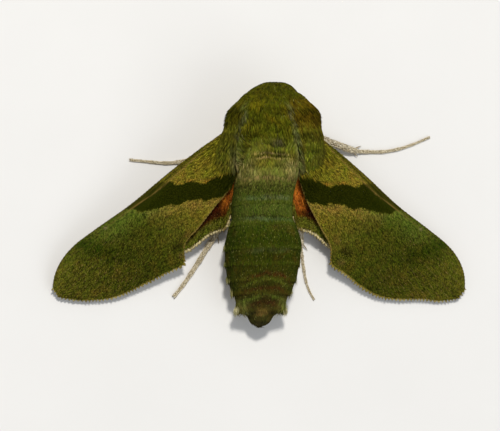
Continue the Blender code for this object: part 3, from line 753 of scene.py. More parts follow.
def ringFinish():
    recipe = Recipe("ringFringe")
    x, y, pale = recipe.axes(recipe.attribute("place"))
    tint, along, second = recipe.axes(recipe.attribute("growth"))
    plain = recipe.mix(recipe.step(17.0, 18.5, y), recipe.mix(tint, paint(44, 54, 3), paint(74, 84, 18)),
                       recipe.mix(tint, paint(46, 44, 6), paint(80, 74, 20)))
    tips = recipe.mix(tint, paint(98, 102, 42), paint(166, 156, 104))
    tips = recipe.mix(recipe.step(19.6, 20.3, y), tips, recipe.mix(tint, paint(140, 138, 78), paint(214, 204, 160)))
    colour = recipe.mix(pale * recipe.step(0.15, 0.65, along + 0.3 * second), plain, tips)
    return recipe.finish(colour, 0.75, specular=0.04)


growRingFringes()
print("trunk coats grown")


# ---- forewings ----
forewing = {
    "hinge": (3.3, 4.6, 6.0),
    "axis": math.radians(41.7),
    "reach": {"left": 21.35, "right": 21.84},
    "breadth": {"left": 0.88, "right": 1.0},
    "corner": {"left": 0.50, "right": 0.465},
    "fallRear": 0.335,
    "fallOut": 0.02,
    "camber": 0.22,
    "roll": 0.50,
    "rollWidth": 0.55,
    "thick": 0.16,
    "tip": 0.985,
    # share of the reach, offset of the leading edge behind the axis
    "front": ((0, -0.35), (0.10, -0.78), (0.30, -1.20), (0.52, -1.40), (0.70, -1.90), (0.80, -2.10), (0.90, -1.70),
              (0.955, -1.00), (1, 0)),
    # share of the reach, offset of the rear and outer edge: its greatest value is the rear corner
    "rear": {"left": ((0, 2.0), (0.08, 3.40), (0.154, 4.32), (0.26, 4.76), (0.361, 5.25), (0.459, 5.72),
                      (0.512, 7.08), (0.567, 6.68), (0.637, 6.22), (0.712, 5.70), (0.805, 4.95), (0.876, 3.85),
                      (0.94, 2.45), (1, 0.60)),
             "right": ((0, 2.0), (0.08, 3.00), (0.158, 3.90), (0.20, 4.32), (0.33, 5.22), (0.42, 5.85),
                       (0.474, 6.86), (0.54, 6.58), (0.64, 6.35), (0.73, 5.75), (0.80, 4.66), (0.87, 3.30),
                       (0.94, 2.15), (1, 0.60))},
    "veins": 9,
    "pleat": 0.012,
    "scales": 27000,
    "under": 3500,
}
span = 21.5  # millimetres that the wing's own share of 1 stands for in its markings


# hinge + share x reach along the axis + offset across it; z falls to the rear, with a camber across the
# chord, the leading edge rolled down as exp(-(d/w)^2), and shallow pleats along the veins.
def forewingSheet(side, share, chord):
    w = forewing
    front, rear = (through(edge, share)[0] * w["breadth"][side] for edge in (w["front"], w["rear"][side]))
    front, rear = front + 0.04, rear - 0.17 * ease(0.0, 0.1, share)
    wide = rear - front
    out, back = share * w["reach"][side], front + wide * chord
    x = w["hinge"][0] + out * math.cos(w["axis"]) - back * math.sin(w["axis"])
    y = w["hinge"][1] + out * math.sin(w["axis"]) + back * math.cos(w["axis"])
    z = w["hinge"][2] - w["fallOut"] * (x - w["hinge"][0]) - w["fallRear"] * (y - w["hinge"][1])
    z = z + w["camber"] * 4 * chord * (1 - chord) * np.minimum(1.0, (1.0 - share) * 4)
    z = z - w["roll"] * np.minimum(1.0, (1.0 - share) * 5) * np.exp(-((wide * chord / w["rollWidth"]) ** 2))
    fan = chord ** (0.75 + 0.25 * share)
    z = z + w["pleat"] * np.cos(2 * np.pi * w["veins"] * fan) * ease(0.03, 0.3, share) * ease(0.0, 0.12, chord)
    sign = 1 if side == "left" else -1
    return np.stack([sign * x, y, z - 0.04], axis=-1), back / w["breadth"][side]


def closedSheet(sheet, thick, side):  # upper face front to rear, then the lower face back again
    turn = np.linspace(0.0, 2 * np.pi, 112, endpoint=False) + np.pi / 112
    points, marks = sheet(0.5 - 0.5 * np.cos(turn))
    points[..., 2] += 0.5 * thick * np.sign(np.sin(turn)) * np.abs(np.sin(turn)) ** 0.5
    place = np.concatenate([marks, np.broadcast_to((np.sin(turn) > 0).astype(float), points.shape[:2])[..., None]], axis=2)
    if side == "right":
        points, place = points[:, ::-1], place[:, ::-1]
    return points, place


def forewingGrid(side):
    share = (forewing["tip"] * np.linspace(0.0, 1.0, 170) ** 0.94)[:, None]

    def sheet(chord):
        points, offset = forewingSheet(side, share, chord[None])
        return points, np.stack([np.broadcast_to(share * span, offset.shape), offset], axis=2)
    return closedSheet(sheet, forewing["thick"], side)


wingPaints = (
    (0.00, paint(107, 109, 23)), (0.12, paint(114, 114, 25)), (0.30, paint(118, 111, 30)), (0.44, paint(84, 86, 21)),
    (0.52, paint(68, 74, 14)), (0.60, paint(63, 70, 12)), (0.70, paint(64, 69, 12)), (0.80, paint(71, 76, 15)),
    (0.90, paint(80, 83, 19)), (1.0, paint(78, 81, 18)),
)
# Edges of the dark band, and the pale vein behind the leading edge: offset across the wing, share along it.
bandNear = ((-2.2, 0.41), (-1.5, 0.375), (-0.75, 0.347), (-0.25, 0.325), (0.1, 0.322), (0.5, 0.302), (0.85, 0.271),
            (1.36, 0.247), (2.0, 0.226), (2.24, 0.192), (2.35, 0.158), (2.65, 0.122), (2.95, 0.093), (3.6, 0.06),
            (4.6, 0.02))
bandFar = ((-2.2, 0.56), (-1.5, 0.545), (-0.9, 0.52), (-0.28, 0.508), (0.15, 0.48), (0.65, 0.445), (1.05, 0.41),
           (1.4, 0.385), (1.93, 0.365), (2.14, 0.33), (2.45, 0.31), (2.95, 0.28), (3.4, 0.27), (3.75, 0.24),
           (4.6, 0.19))
coastVein = ((0.0, -0.50), (0.243, -0.525), (0.309, -0.54), (0.404, -0.60), (0.453, -0.76), (0.512, -0.93),
             (0.561, -1.05), (0.667, -1.31), (0.80, -1.72), (1.0, -1.9))
# Small marks: share along, offset across, half size in mm, colour, strength.
wingSpots = (
    (0.475, 4.95, 0.80, paint(40, 40, 6), 0.75), (0.415, 4.80, 0.60, paint(98, 80, 30), 0.40),
    (0.492, 2.38, 0.32, paint(36, 34, 8), 0.80), (0.549, 0.03, 1.30, paint(70, 80, 16), 0.50),
    (0.490, 5.95, 0.55, paint(104, 88, 42), 0.45), (0.215, 2.10, 0.45, paint(128, 84, 22), 0.45),
    (0.270, 0.90, 0.50, paint(124, 86, 26), 0.35), (0.660, -1.30, 0.30, paint(140, 132, 84), 0.50),
)


def forewingFinish(name, onSkin):
    recipe = Recipe(name)
    spot = recipe.attribute("place")
    along, across, upper = recipe.axes(spot)
    if onSkin:
        tint = recipe.step(0.3, 0.7, recipe.noise(spot, 5.0, 3.0, 0.7))
        second = recipe.step(0.25, 0.75, recipe.noise(spot, 7.0, 2.0, 0.6))
        tip = 0.5
    else:
        tint, tip, second = recipe.axes(recipe.attribute("growth"))
    hair = 0.25 + 0.5 * recipe.streaks(spot, (2.0, 8.0, 0.0))
    drift = recipe.noise(spot, 0.55, 3.0, 0.6) - 0.5
    jag = (recipe.noise(spot, 2.6, 2.0, 0.6) - 0.5) * 0.40
    share = along / span
    near = along - recipe.curve(across, bandNear) * span + jag
    far = along - recipe.curve(across, bandFar) * span + jag
    colour = recipe.ramp(share + 0.05 * drift, wingPaints)
    after = recipe.step(-0.1, 0.25, far) * recipe.step(2.4, 0.2, far)
    inside = recipe.step(-0.4, 2.4, across)
    colour = recipe.mix(after * 0.85, colour, recipe.mix(inside, paint(92, 104, 34), paint(128, 112, 42)))
    slant = along - (0.7375 - 0.0217 * across) * span + 1.2 * drift
    dusk = recipe.line(slant, 1.7) * recipe.step(2.9, 0.4, across + 1.5 * drift)
    leaf = recipe.step(-0.1, 0.5, far) * recipe.step(7.0, 2.0, far) * recipe.step(1.4, -0.6, across)
    colour = recipe.mix(leaf * 0.6, colour, paint(78, 95, 28))
    band = recipe.step(-0.08, 0.10, near) * recipe.step(0.16, -0.10, far)
    lip = recipe.line(near + 0.22, 0.30) * recipe.step(-0.8, 0.4, across)
    colour = recipe.mix(lip * 0.65 * hair, colour, paint(150, 112, 40))
    vein = across - (recipe.curve(share, tuple((a, (b + 2) / 2) for a, b in coastVein)) * 2.0 - 2.0)
    streak = recipe.streaks(spot, (0.5, 5.0, 0.0))
    coast = recipe.step(0.0, -0.15, vein)
    for a, b, half, shade, strength in wingSpots:
        away = recipe.add("VectorMath", {"operation": "DISTANCE"}, {0: spot, 1: (a * span, b, 1.0)}, "Value")
        colour = recipe.mix(recipe.step(half, 0.2 * half, away) * strength, colour, shade)
    rays = recipe.maths("PINGPONG", (across - 0.8) / (share - 0.30) * 1.15, 0.5)
    faint = recipe.step(0.09, 0.0, rays) * recipe.step(0.55, 0.75, share)
    colour = recipe.mix(faint * 0.35, colour, paint(112, 92, 58))
    colour = recipe.mix(recipe.step(-0.05, 0.40, drift) * 0.35, colour, paint(112, 96, 26))
    colour = flecked(recipe, colour, spot, tint, hair, second, paint(150, 140, 60))
    shaded = recipe.mix(dusk, (1.0, 1.0, 1.0, 1.0), (0.46, 0.58, 0.34, 1.0))
    colour = recipe.mix(1.0, colour, shaded, "MULTIPLY")
    dark = recipe.mix(tint, recipe.mix(share * 1.6, paint(22, 26, 0), paint(35, 44, 1)), paint(42, 46, 2))
    colour = recipe.mix(band * 0.98, colour, dark)
    fade = recipe.step(0.72, 0.46, share)
    brown = recipe.mix(streak, paint(48, 50, 6), paint(92, 82, 22))
    colour = recipe.mix(coast * fade * 0.55, colour, brown)
    colour = recipe.mix(recipe.line(vein, 0.13) * fade * (0.15 + 0.75 * streak), colour, paint(136, 110, 54))
    colour = recipe.mix(recipe.line(vein + 0.32, 0.09) * fade * 0.6, colour, paint(34, 32, 4))
    # Each scale is darker at its root than at its tip: painted shade where the scales overlap; on the skin it
    # multiplies by 1.
    colour = recipe.mix(1.0, colour, recipe.grey(0.80 + 0.40 * tip), "MULTIPLY")
    under = recipe.mix(tint, paint(104, 84, 34), paint(158, 126, 70))
    colour = recipe.mix(upper, under, colour)
    if onSkin:
        # The skin under the scales is darkened: painted shade beneath them.
        return recipe.finish(recipe.mix(0.3, colour, paint(20, 20, 4)), 0.8, recipe.noise(spot, 12.0), 0.03, 0.02)
    return recipe.finish(colour, 0.70, specular=0.02)


# Scales point out along the wing and fan to its rear, or all to the rear on a hindwing.
def growWing(name, grid, place, top, under, finish, slot, size, fan, spread):
    chord = 0.5 - 0.5 * np.cos((np.arange(grid.shape[1]) + 0.5) / grid.shape[1] * 2 * np.pi)[None]
    keep = ease(0.99, 0.96, chord) + 1e-6
    groups = [scatter(grid, place, top, place[..., 2] * keep), scatter(grid, place, under, (1 - place[..., 2]) * keep)]
    spots = joinSpots(groups)
    own = spots["chance"]
    sway = wander(spots["place"][:, :2], 2.2, 11)[:, None] * 0.16 + (own[:, :1] - 0.5) * 0.45
    turn = np.maximum(spread, 0.75 * ease(4.0, 12.0, spots["place"][:, :1]))
    ahead = (1 - spread) * spots["along"] + turn * unit(np.array(fan)) + sway * spots["across"]
    ahead = ahead + spots["up"] * (0.06 + 0.20 * own[:, 1:] ** 2)
    length = size[0] * (0.75 + 0.5 * own[:, 1])
    width = size[1] * (0.75 + 0.5 * own[:, 0])
    spots["place"][:, 2] = np.round(spots["place"][:, 2])
    makeCoat(name, spots, ahead, vaneForm, length, width, 0.026, -0.03, finish, slot)


forewingSkinFinish, forewingScaleFinish = forewingFinish("forewingSkin", True), forewingFinish("forewingScale", False)
for side in ("left", "right"):
    grid, place = forewingGrid(side)
    makeSkin("forewing_skin_" + side, grid, place, forewingSkinFinish, "forewing_scales", ["forewing_" + side])
    sign = 1 if side == "left" else -1
    rearward = (-sign * math.sin(forewing["axis"]), math.cos(forewing["axis"]), -0.25)
    growWing("forewing_coat_" + side, grid, place, forewing["scales"], forewing["under"], forewingScaleFinish,
             "forewing_scales", (0.25, 0.10), rearward, 0.0)


# ---- hindwings ----
hindwing = {
    # distance out, y of the front edge; then of the rear edge
    "front": ((2.2, 7.30), (4.0, 8.20), (7.0, 10.2), (9.5, 12.3), (10.8, 13.8)),
    "rear": ((2.2, 12.9), (3.0, 13.15), (4.0, 13.40), (5.0, 13.78), (6.2, 14.70), (7.2, 15.25), (9.0, 15.10),
             (10.8, 14.30)),
    "notch": 1.1,
    "hook": {"left": 3.37, "right": 3.02},
    "height": 3.75,
    "fall": 0.315,
    "thick": 0.16,
    "scales": 8500,
    "under": 2000,
}


# x runs out, y from the front to the rear edge; z = height - fall x (y - 8), with fine fan pleats, and the
# inner front corner rises to meet the forewing.
def hindwingSheet(side, out, chord):
    w = hindwing
    front, rear = (through(w[edge], out)[0] for edge in ("front", "rear"))
    rear = rear - w["notch"] * ease(w["hook"][side] + 0.25, w["hook"][side] - 0.25, out)
    y = front + (rear - 0.22 - front) * chord
    z = w["height"] + 0.10 - w["fall"] * (y - 8.0) + 0.05 * np.cos(out * 7.0 + 0.6 * chord) * ease(0.1, 0.6, chord)
    z = z + 0.95 * ease(9.4, 7.2, y) * ease(5.0, 2.6, out)
    sign = 1 if side == "left" else -1
    return np.stack([sign * np.broadcast_to(out, y.shape), y, z], axis=-1), rear - y


def hindwingGrid(side):
    out = np.linspace(2.2, 10.7, 90)[:, None]

    def sheet(chord):
        points, edge = hindwingSheet(side, out, chord[None])
        return points, np.stack([np.abs(points[..., 0]), edge], axis=2)
    return closedSheet(sheet, hindwing["thick"], side)


def hindwingFinish(name, onSkin):
    recipe = Recipe(name)
    spot = recipe.attribute("place")
    out, edge, upper = recipe.axes(spot)
    if onSkin:
        tint = recipe.step(0.3, 0.7, recipe.noise(spot, 5.0, 3.0, 0.7))
        second = recipe.step(0.25, 0.75, recipe.noise(spot, 7.0, 2.0, 0.6))
    else:
        tint, tip, second = recipe.axes(recipe.attribute("growth"))
    drift = recipe.noise(spot, 1.2, 3.0, 0.6) - 0.5
    hair = recipe.streaks(spot, (5.0, 1.2, 0.0))
    orange = recipe.mix(recipe.step(-0.12, 0.15, drift), paint(114, 61, 12), paint(176, 110, 32))
    outer = recipe.step(3.4, 4.3, out - 0.35 * (edge - 2.0) + drift)
    colour = recipe.mix(outer, orange, paint(70, 31, 9))
    colour = recipe.mix(recipe.step(1.65, 0.95, edge + 0.8 * drift), colour, paint(88, 94, 24))
    colour = recipe.mix(recipe.line(edge - 1.75, 0.40) * 0.5, colour, paint(42, 30, 8))
    colour = recipe.mix(recipe.step(0.45, 0.25, edge) * 0.6, colour, paint(140, 126, 72))
    colour = flecked(recipe, colour, spot, tint, hair, second, paint(160, 140, 84), 0.8)
    under = recipe.mix(tint, paint(110, 88, 40), paint(166, 132, 76))
    colour = recipe.mix(upper, under, colour)
    return recipe.finish(colour, 0.75, specular=0.02)


hindSkinFinish, hindScaleFinish = hindwingFinish("hindwingSkin", True), hindwingFinish("hindwingScale", False)
for side in ("left", "right"):
    grid, place = hindwingGrid(side)
    makeSkin("hindwing_skin_" + side, grid, place, hindSkinFinish, "hindwing_scales", ["hindwing_" + side])
    growWing("hindwing_coat_" + side, grid, place, hindwing["scales"], hindwing["under"], hindScaleFinish,
             "hindwing_scales", (0.26, 0.10), (0.0, 1.0, -hindwing["fall"]), 1.0)
print("wings made")


# ---- fringes of the wings ----
# Kinds of margin: 0 inner edge, 1 outer edge, 2 leading edge, 3 hindwing.
fringes = {
    "perMm": 34,
    "layers": (0.0, 0.06, 0.12),
    "length": (0.16, 0.36, 0.08, 0.44),
    "teeth": (0.3, 0.45, 0.3, 0.22),
    "width": 0.075,
    "tooth": 0.34,
}


def forewingMargin(side):
    rear = np.linspace(0.06, forewing["tip"], 900)
    tip = np.full(60, forewing["tip"])
    front = np.linspace(forewing["tip"], 0.22, 700)
    share = np.concatenate([rear, tip, front])
    chord = np.concatenate([np.ones(900), np.linspace(1.0, 0.0, 60), np.zeros(700)])
    points, offset = forewingSheet(side, share, chord)
    kind = np.where(chord < 0.02, 2.0, np.where(share < forewing["corner"][side], 0.0, 1.0))
    return points, np.stack([share * span, offset, kind], axis=1)


def hindwingMargin(side):
    out = np.linspace(2.35, 10.6, 900)
    points, edge = hindwingSheet(side, out, np.ones(900))
    return points, np.stack([out, edge, np.full(900, 3.0)], axis=1)


# Strands along a margin, square to it in the wing's plane, in layers from the edge inward.
def fringeSpots(margin, side):
    points, marks = margin
    sign = 1 if side == "left" else -1
    length = np.concatenate([[0.0], np.cumsum(np.linalg.norm(np.diff(points, axis=0), axis=1))])
    up = unit(np.array((0.02 * sign, 0.335, 1.0)))
    way = unit(np.gradient(points, axis=0))
    groups = []
    for layer in fringes["layers"]:
        count = int(length[-1] * fringes["perMm"])
        at = (np.arange(count) + chance.random(count)) / count * length[-1]
        read = lambda field: np.stack([np.interp(at, length, column) for column in field.T], axis=1)
        along = unit(read(way))
        away = -sign * np.cross(along, up)
        kind = np.round(read(marks)[:, 2]).astype(int)
        root = read(points) - away * (layer + 0.03) + up * 0.02 * (1.0 - layer * 8.0)
        phase = np.pi * at / fringes["tooth"] + 0.7 * np.sin(at * 1.9)
        groups.append({"root": root, "along": away, "across": along, "up": np.broadcast_to(up, root.shape),
                       "place": np.column_stack([read(marks)[:, :2], kind]), "chance": chance.random((count, 2)),
                       "map": np.column_stack([at / length[-1], 0.1 + 0.4 * layer + 0.0 * at]),
                       "tooth": np.abs(np.sin(phase)) * (0.75 + 0.25 * np.sin(at * 5.3 + np.sin(at * 2.3))),
                       "gather": np.cos(phase) * np.sign(np.sin(phase))})
    return joinSpots(groups)


def fringeFinish():
    recipe = Recipe("wingFringe")
    along, across, kind = recipe.axes(recipe.attribute("place"))
    tint, tip, second = recipe.axes(recipe.attribute("growth"))
    inner = recipe.mix(tint, paint(84, 74, 20), paint(138, 116, 56))
    outer = recipe.mix(tint, paint(74, 68, 16), paint(124, 110, 44))
    worn = recipe.step(0.35, 0.65, recipe.noise(recipe.attribute("place"), 0.8, 2.0))
    pale = recipe.step(0.30, 0.7, tip) * recipe.step(0.25, 0.65, second) * (0.35 + 0.65 * worn)
    outer = recipe.mix(pale, outer, paint(200, 184, 126))
    coast = recipe.mix(tint, paint(58, 56, 16), paint(104, 92, 46))
    hind = recipe.mix(tint, paint(164, 148, 98), paint(214, 198, 150))
    hind = recipe.mix(recipe.step(0.25, 0.05, tip) * 0.6, hind, paint(96, 74, 34))
    colour = recipe.mix(recipe.step(0.4, 0.6, kind), inner, outer)
    colour = recipe.mix(recipe.step(1.4, 1.6, kind), colour, coast)
    colour = recipe.mix(recipe.step(2.4, 2.6, kind), colour, hind)
    return recipe.finish(colour, 0.75, specular=0.04)


fringeShade = fringeFinish()
for side in ("left", "right"):
    spots = joinSpots([fringeSpots(forewingMargin(side), side), fringeSpots(hindwingMargin(side), side)])
    own, kind = spots["chance"], spots["place"][:, 2].astype(int)
    ahead = spots["along"] + spots["across"] * (own[:, :1] - 0.5) * 0.3 + spots["up"] * (own[:, 1:] - 0.6) * 0.25
    ahead = ahead + spots["across"] * np.array((0.35, 0.35, 0.35, 0.15))[kind][:, None] * spots["gather"][:, None]
    deep = np.array(fringes["teeth"])[kind]
    length = np.array(fringes["length"])[kind] * (1.0 - deep * (1 - spots["tooth"]) + 0.15 * own[:, 1])
    width = fringes["width"] * (0.7 + 0.6 * own[:, 0]) * np.where(kind == 3, 1.15, 1.0)
    makeCoat("wing_fringe_" + side, spots, ahead, hairForm, length, width, 0.45 * width, -0.05, fringeShade,
             "forewing_scales")

# Longer hair at the wings' roots, over the scales.
rootHair = {"forewing": (3600, 0.70, 0.08), "hindwing": (1000, 0.45, 0.07)}
for side in ("left", "right"):
    grid, place = forewingGrid(side)
    spots = scatter(grid, place, rootHair["forewing"][0],
                    place[..., 2] * ease(4.4, 0.8, place[..., 0]) ** 1.5 * ease(-0.7, -0.1, place[..., 1]) + 1e-7)
    hind, hindPlace = hindwingGrid(side)
    hindSpots = scatter(hind, hindPlace, rootHair["hindwing"][0],
                        hindPlace[..., 2] * ease(4.2, 3.0, hindPlace[..., 0]) + 1e-7)
    for word, group, finish, slot in (("forewing", spots, forewingScaleFinish, "forewing_scales"),
                                      ("hindwing", hindSpots, hindScaleFinish, "hindwing_scales")):
        count, long, wide = rootHair[word]
        own = group["chance"]
        ahead = group["along"] if word == "forewing" else np.array((0.0, 1.0, -hindwing["fall"]))[None]
        ahead = ahead + group["across"] * (own[:, :1] - 0.5) * 0.5 + group["up"] * (0.06 + 0.12 * own[:, 1:])
        makeCoat(word + "_root_hair_" + side, group, ahead, hairForm, long * (0.7 + 0.6 * own[:, 1]), wide, 0.04,
                 -0.04, finish, slot)
print("fringes made")


# ---- legs ----
legs = {
    "foreleg_left": {"knee": 2, "ankle": 4, "shin": 0.22, "toe": (0.17, 0.11), "path": (
        (0.90, 3.1, 3.0), (1.45, 2.6, 2.2), (1.95, 2.8, 2.0), (1.65, 2.15, 1.1), (1.30, 1.6, 0.5), (1.0, 1.15, 0.22),
        (0.75, 0.75, 0.22), (0.55, 0.4, 0.22))},
    "foreleg_right": {"knee": 2, "ankle": 4, "shin": 0.22, "toe": (0.17, 0.11), "path": (
        (-0.90, 3.1, 3.0), (-1.6, 2.5, 2.1), (-2.35, 2.7, 2.0), (-2.45, 2.1, 1.1), (-2.2, 1.5, 0.5),
        (-1.95, 1.0, 0.22), (-1.7, 0.6, 0.22), (-1.45, 0.25, 0.22))},
    "midleg_left": {"knee": 2, "ankle": 4, "shin": 0.27, "toe": (0.19, 0.09), "spurs": 1, "path": (
        (1.3, 5.1, 2.8), (1.9, 4.7, 2.1), (2.65, 4.3, 2.5), (3.6, 4.95, 1.55), (4.75, 5.75, 0.5), (6.2, 6.5, 0.22),
        (7.5, 6.85, 0.22), (8.8, 6.92, 0.22), (10.1, 6.82, 0.22), (11.8, 6.66, 0.22))},
    "midleg_right": {"knee": 2, "ankle": 4, "shin": 0.27, "toe": (0.17, 0.08), "spurs": 1, "path": (
        (-1.3, 4.9, 2.8), (-2.8, 4.6, 2.1), (-4.55, 4.50, 2.1), (-6.9, 5.05, 1.25), (-9.2, 5.68, 0.5),
        (-10.7, 5.75, 0.22), (-12.2, 5.72, 0.22), (-13.7, 5.45, 0.22), (-15.2, 4.95, 0.22), (-16.6, 4.35, 0.22))},
    "hindleg_left": {"knee": 2, "ankle": 4, "shin": 0.32, "toe": (0.25, 0.13), "spurs": 2, "path": (
        (1.4, 6.9, 2.6), (2.5, 8.1, 1.9), (3.45, 9.6, 1.8), (3.8, 11.6, 1.15), (4.1, 13.5, 0.5), (4.8, 14.7, 0.22),
        (5.65, 16.05, 0.22), (6.45, 17.25, 0.22), (7.2, 18.3, 0.22), (7.95, 19.2, 0.22))},
    "hindleg_right": {"knee": 2, "ankle": 4, "shin": 0.24, "toe": (0.13, 0.07), "spurs": 2, "path": (
        (-1.4, 6.9, 2.6), (-2.5, 8.1, 1.9), (-3.45, 9.8, 1.8), (-3.75, 12.2, 1.15), (-3.95, 14.4, 0.5),
        (-4.15, 15.7, 0.22), (-4.3, 16.9, 0.22), (-4.5, 18.0, 0.22), (-4.8, 18.85, 0.22), (-5.15, 19.5, 0.22))},
}
legBuild = {"around": 20, "steps": 16, "thigh": 0.33, "knee": 0.22, "toeJoints": 5, "swell": 0.24, "clear": 0.045}


# The leg's radius is drawn through thigh, knee, shin and toe; each toe joint widens as (share)^2 to its end.
def legGrid(leg):
    path = np.array(leg["path"])
    last, ankle, knee = len(path) - 1, leg["ankle"], leg["knee"]
    places = np.linspace(0.0, last, last * legBuild["steps"] + 1)
    shin = leg["shin"]
    radii = np.interp(places, (0, knee - 0.6, knee, knee + 0.35, ankle - 0.35, ankle, ankle + 0.3, last),
                      (legBuild["thigh"], 0.30, legBuild["knee"], shin, shin * 0.92, 0.8 * shin, *leg["toe"]))
    joint = np.clip((places - ankle) / (last - ankle), 0, 0.9999) * legBuild["toeJoints"]
    radii = radii * np.where(places > ankle, 1 + legBuild["swell"] * ((joint % 1.0) ** 3 - 0.35), 1.0)
    knots = np.arange(last + 1)
    low = np.interp(knots, places, radii) + legBuild["clear"]
    path[:, 2] = np.where(knots > ankle, low, path[:, 2])
    grid = tube(path, radii, legBuild["around"], legBuild["steps"])
    return grid, places, radii


def legFinish(name, onSkin):
    recipe = Recipe(name)
    spot = recipe.bodyPlace()
    grime = recipe.noise(spot, 2.2, 3.0, 0.6)
    if onSkin:
        colour = recipe.mix(grime, paint(122, 106, 78), paint(160, 144, 108))
        return recipe.finish(colour, 0.7, recipe.noise(spot, 14.0), 0.03)
    tint, along, second = recipe.axes(recipe.attribute("growth"))
    colour = recipe.mix(tint, paint(194, 179, 144), paint(236, 225, 198))
    colour = recipe.mix(recipe.step(0.88, 0.94, second) * 0.6, colour, paint(124, 108, 76))
    colour = recipe.mix(recipe.step(0.50, 0.75, grime) * 0.25, colour, paint(158, 140, 104))
    return recipe.finish(colour, 0.65, specular=0.15)


# Curved spine from start: way x t + side x (bow t - bow t^2), tapered to its end.
def spine(start, way, side, length, radius, bow=0.5, fall=0.0):
    t = np.linspace(0.0, 1.0, 5)[:, None]
    path = start + length * (way * t + side * bow * (t - 0.6 * t * t) + np.array((0.0, 0.0, -fall)) * t * t)
    path[:, 2] = np.maximum(path[:, 2], 0.035)
    return tube(path, radius * np.array((1.0, 0.95, 0.75, 0.5, 0.18)), 8, 3)


def hooks(leg, grid):
    middle = grid.mean(axis=1)
    found = []
    end, way = middle[-1], unit(middle[-1] - middle[-6])
    side = unit(np.cross(way, (0.0, 0.0, 1.0)))
    for sign in (1, -1):
        found.append(spine(end - 0.05 * way, way, sign * side, 0.26, 0.035, 0.9, 0.35))
    steps = legBuild["steps"]
    for number in range(leg.get("spurs", 0)):
        at = (leg["ankle"] * steps) - (0 if number == 0 else int(0.85 * steps))
        way = unit(middle[at + 3] - middle[at - 3])
        side = unit(np.cross(way, (0.0, 0.0, 1.0)))
        for sign, long in ((1, 0.62), (-1, 0.85)):
            found.append(spine(middle[at] + sign * side * 0.12, unit(way * 0.8 + sign * side * 0.45), sign * side, long,
                               0.075, 0.25, 0.12))
    return found


legSkinFinish, legScaleFinish = legFinish("legSkin", True), legFinish("legScale", False)
thorns = []
for name, leg in legs.items():
    grid, places, radii = legGrid(leg)
    makeSkin(name + "_skin", grid, np.concatenate([grid], axis=0), legSkinFinish, "leg_scales",
             [name + "_femur", name + "_tibia", name + "_tarsus"])
    thorns += hooks(leg, grid)
    weight = np.where(places[:, None] < 0.9, 0.4, 1.0) * np.ones((1, legBuild["around"]))
    area = np.pi * 2 * np.sum(radii[:-1] * np.linalg.norm(np.diff(grid.mean(1), axis=0), axis=1))
    spots = scatter(grid, grid, int(area * 130), weight)
    own = spots["chance"]
    toe = ease(leg["ankle"] - 0.2, leg["ankle"] + 0.3, spots["map"][:, 1] * (len(leg["path"]) - 1))
    ahead = spots["along"] + spots["across"] * (own[:, :1] - 0.5) * 0.5
    ahead = ahead + spots["up"] * (0.12 + 0.30 * own[:, 1:] ** 2) * (1 - 0.6 * toe[:, None])
    length = (0.30 - 0.12 * toe) * (0.7 + 0.6 * own[:, 1])
    makeCoat(name + "_scales", spots, ahead, scaleForm, length, 0.115 - 0.04 * toe, 0.03, -0.04, legScaleFinish,
             "leg_scales")


def hornFinish():
    recipe = Recipe("spurs")
    spot = recipe.bodyPlace()
    colour = recipe.mix(recipe.noise(spot, 5.0, 3.0), paint(120, 104, 76), paint(172, 156, 124))
    return recipe.finish(colour, 0.45, recipe.noise(spot, 20.0), 0.01, 0.4)


makeSkins("spurs_and_claws", thorns, hornFinish(), "leg_scales")
print("legs made")


# ---- eyes, feelers and palps ----
def ballGrid(centre, radius, rows=48, around=72):
    rise = np.linspace(0.0, np.pi, rows + 2)[1:-1, None]
    turn = np.linspace(0.0, 2 * np.pi, around, endpoint=False)[None]
    return np.array(centre) + radius * np.stack([np.sin(rise) * np.cos(turn), -np.cos(rise) + 0 * turn,
                                                 np.sin(rise) * np.sin(turn)], axis=2)


def eyeFinish():
    recipe = Recipe("eyeGloss")
    spot = recipe.bodyPlace()
    facet = recipe.add("TexVoronoi", {"feature": "DISTANCE_TO_EDGE"}, {"Vector": spot, "Scale": 22.0}, "Distance")
    cloud = recipe.noise(spot, 1.6, 3.0)
    colour = recipe.mix(recipe.step(0.35, 0.65, cloud), paint(22, 13, 6), paint(52, 33, 14))
    colour = recipe.mix(recipe.step(0.03, 0.0, facet) * 0.30, colour, paint(84, 64, 34))
    return recipe.finish(colour, 0.45, recipe.step(0.0, 0.10, facet), 0.004, 0.08)


eyeShade = eyeFinish()
for side, sign in (("left", 1), ("right", -1)):
    centre = (sign * (eye["out"] - 0.05) + leanAt(eye["back"]), eye["back"] + 0.08, eye["high"] - 0.04)
    grid = ballGrid(centre, eye["radius"] - 0.07)
    makeSkin("eye_ball_" + side, grid, grid, eyeShade, "eye", ["eye_" + side])

feeler = {
    "path": ((1.0, 0.95, 5.45), (2.1, 1.5, 4.75), (2.95, 2.7, 4.4), (3.4, 4.3, 4.2), (4.1, 6.0, 4.0), (5.2, 7.4, 3.75),
             (6.2, 8.5, 3.5)),
    "radii": (0.13, 0.16, 0.18, 0.20, 0.21, 0.19, 0.07),
    "joints": 46,
    "tooth": 0.22,
    "around": 18,
    "steps": 46,
}
palp = {"path": ((0.62, 1.25, 3.2), (0.62, 0.72, 3.3), (0.58, 0.48, 3.8), (0.50, 0.46, 4.30)),
        "radii": (0.26, 0.33, 0.30, 0.15), "around": 24, "steps": 14}


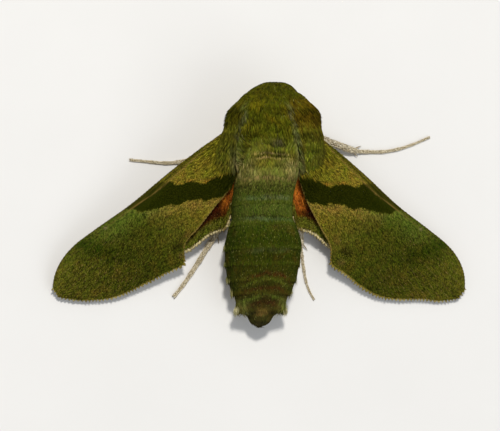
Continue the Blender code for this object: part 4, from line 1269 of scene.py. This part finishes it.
def feelerFinish(name, onSkin):
    recipe = Recipe(name)
    spot = recipe.bodyPlace()
    grain = recipe.noise(spot, 4.0, 3.0)
    colour = recipe.mix(grain, paint(128, 104, 66), paint(176, 156, 114))
    if not onSkin:
        tint, along, second = recipe.axes(recipe.attribute("growth"))
        colour = recipe.mix(tint, paint(150, 128, 90), paint(206, 190, 152))
    return recipe.finish(colour, 0.6, recipe.noise(spot, 18.0) if onSkin else None, 0.02)


def sided(path, sign):
    path = np.array(path) * np.array((sign, 1.0, 1.0))
    path[:, 0] += leanAt(path[:, 1])
    return path


feelerSkinFinish, feelerScaleFinish = feelerFinish("feelerSkin", True), feelerFinish("feelerScale", False)
for side, sign in (("left", 1), ("right", -1)):
    count = (len(feeler["path"]) - 1) * feeler["steps"] + 1
    share = np.linspace(0.0, 1.0, count)
    radii = np.interp(share, np.linspace(0, 1, len(feeler["radii"])), feeler["radii"])
    radii = radii * (1 + feeler["tooth"] * ((share * feeler["joints"]) % 1.0 - 0.5))
    grid = tube(sided(feeler["path"], sign), radii, feeler["around"], feeler["steps"], 0.85)
    makeSkin("feeler_" + side, grid, grid, feelerSkinFinish, "feeler", ["antenna_" + side])
    spots = scatter(grid, grid, 1100, ease(-0.4, 0.5, unit(grid - grid.mean(1, keepdims=True))[..., 2]) + 0.02)
    own = spots["chance"]
    ahead = spots["along"] + spots["up"] * (0.1 + 0.2 * own[:, :1]) + spots["across"] * (own[:, 1:] - 0.5) * 0.4
    makeCoat("feeler_scales_" + side, spots, ahead, scaleForm, 0.15 + 0.05 * own[:, 1], 0.07, 0.02, -0.04,
             feelerScaleFinish, "feeler")

    grid = tube(sided(palp["path"], sign), palp["radii"], palp["around"], palp["steps"])
    place = grid.copy()
    place[..., 0] -= leanAt(place[..., 1])
    makeSkin("palp_skin_" + side, grid, place, trunkSkinFinish, "olive_fur", ["palp_" + side])
    spots = scatter(grid, place, 1000)
    own = spots["chance"]
    ahead = spots["along"] + spots["up"] * (0.25 + 0.25 * own[:, :1]) + spots["across"] * (own[:, 1:] - 0.5) * 0.4
    makeCoat("palp_fur_" + side, spots, ahead, hairForm, 0.26 + 0.10 * own[:, 1], 0.075, 0.035, -0.08, furFinish,
             "olive_fur")
print("eyes, feelers and palps made")
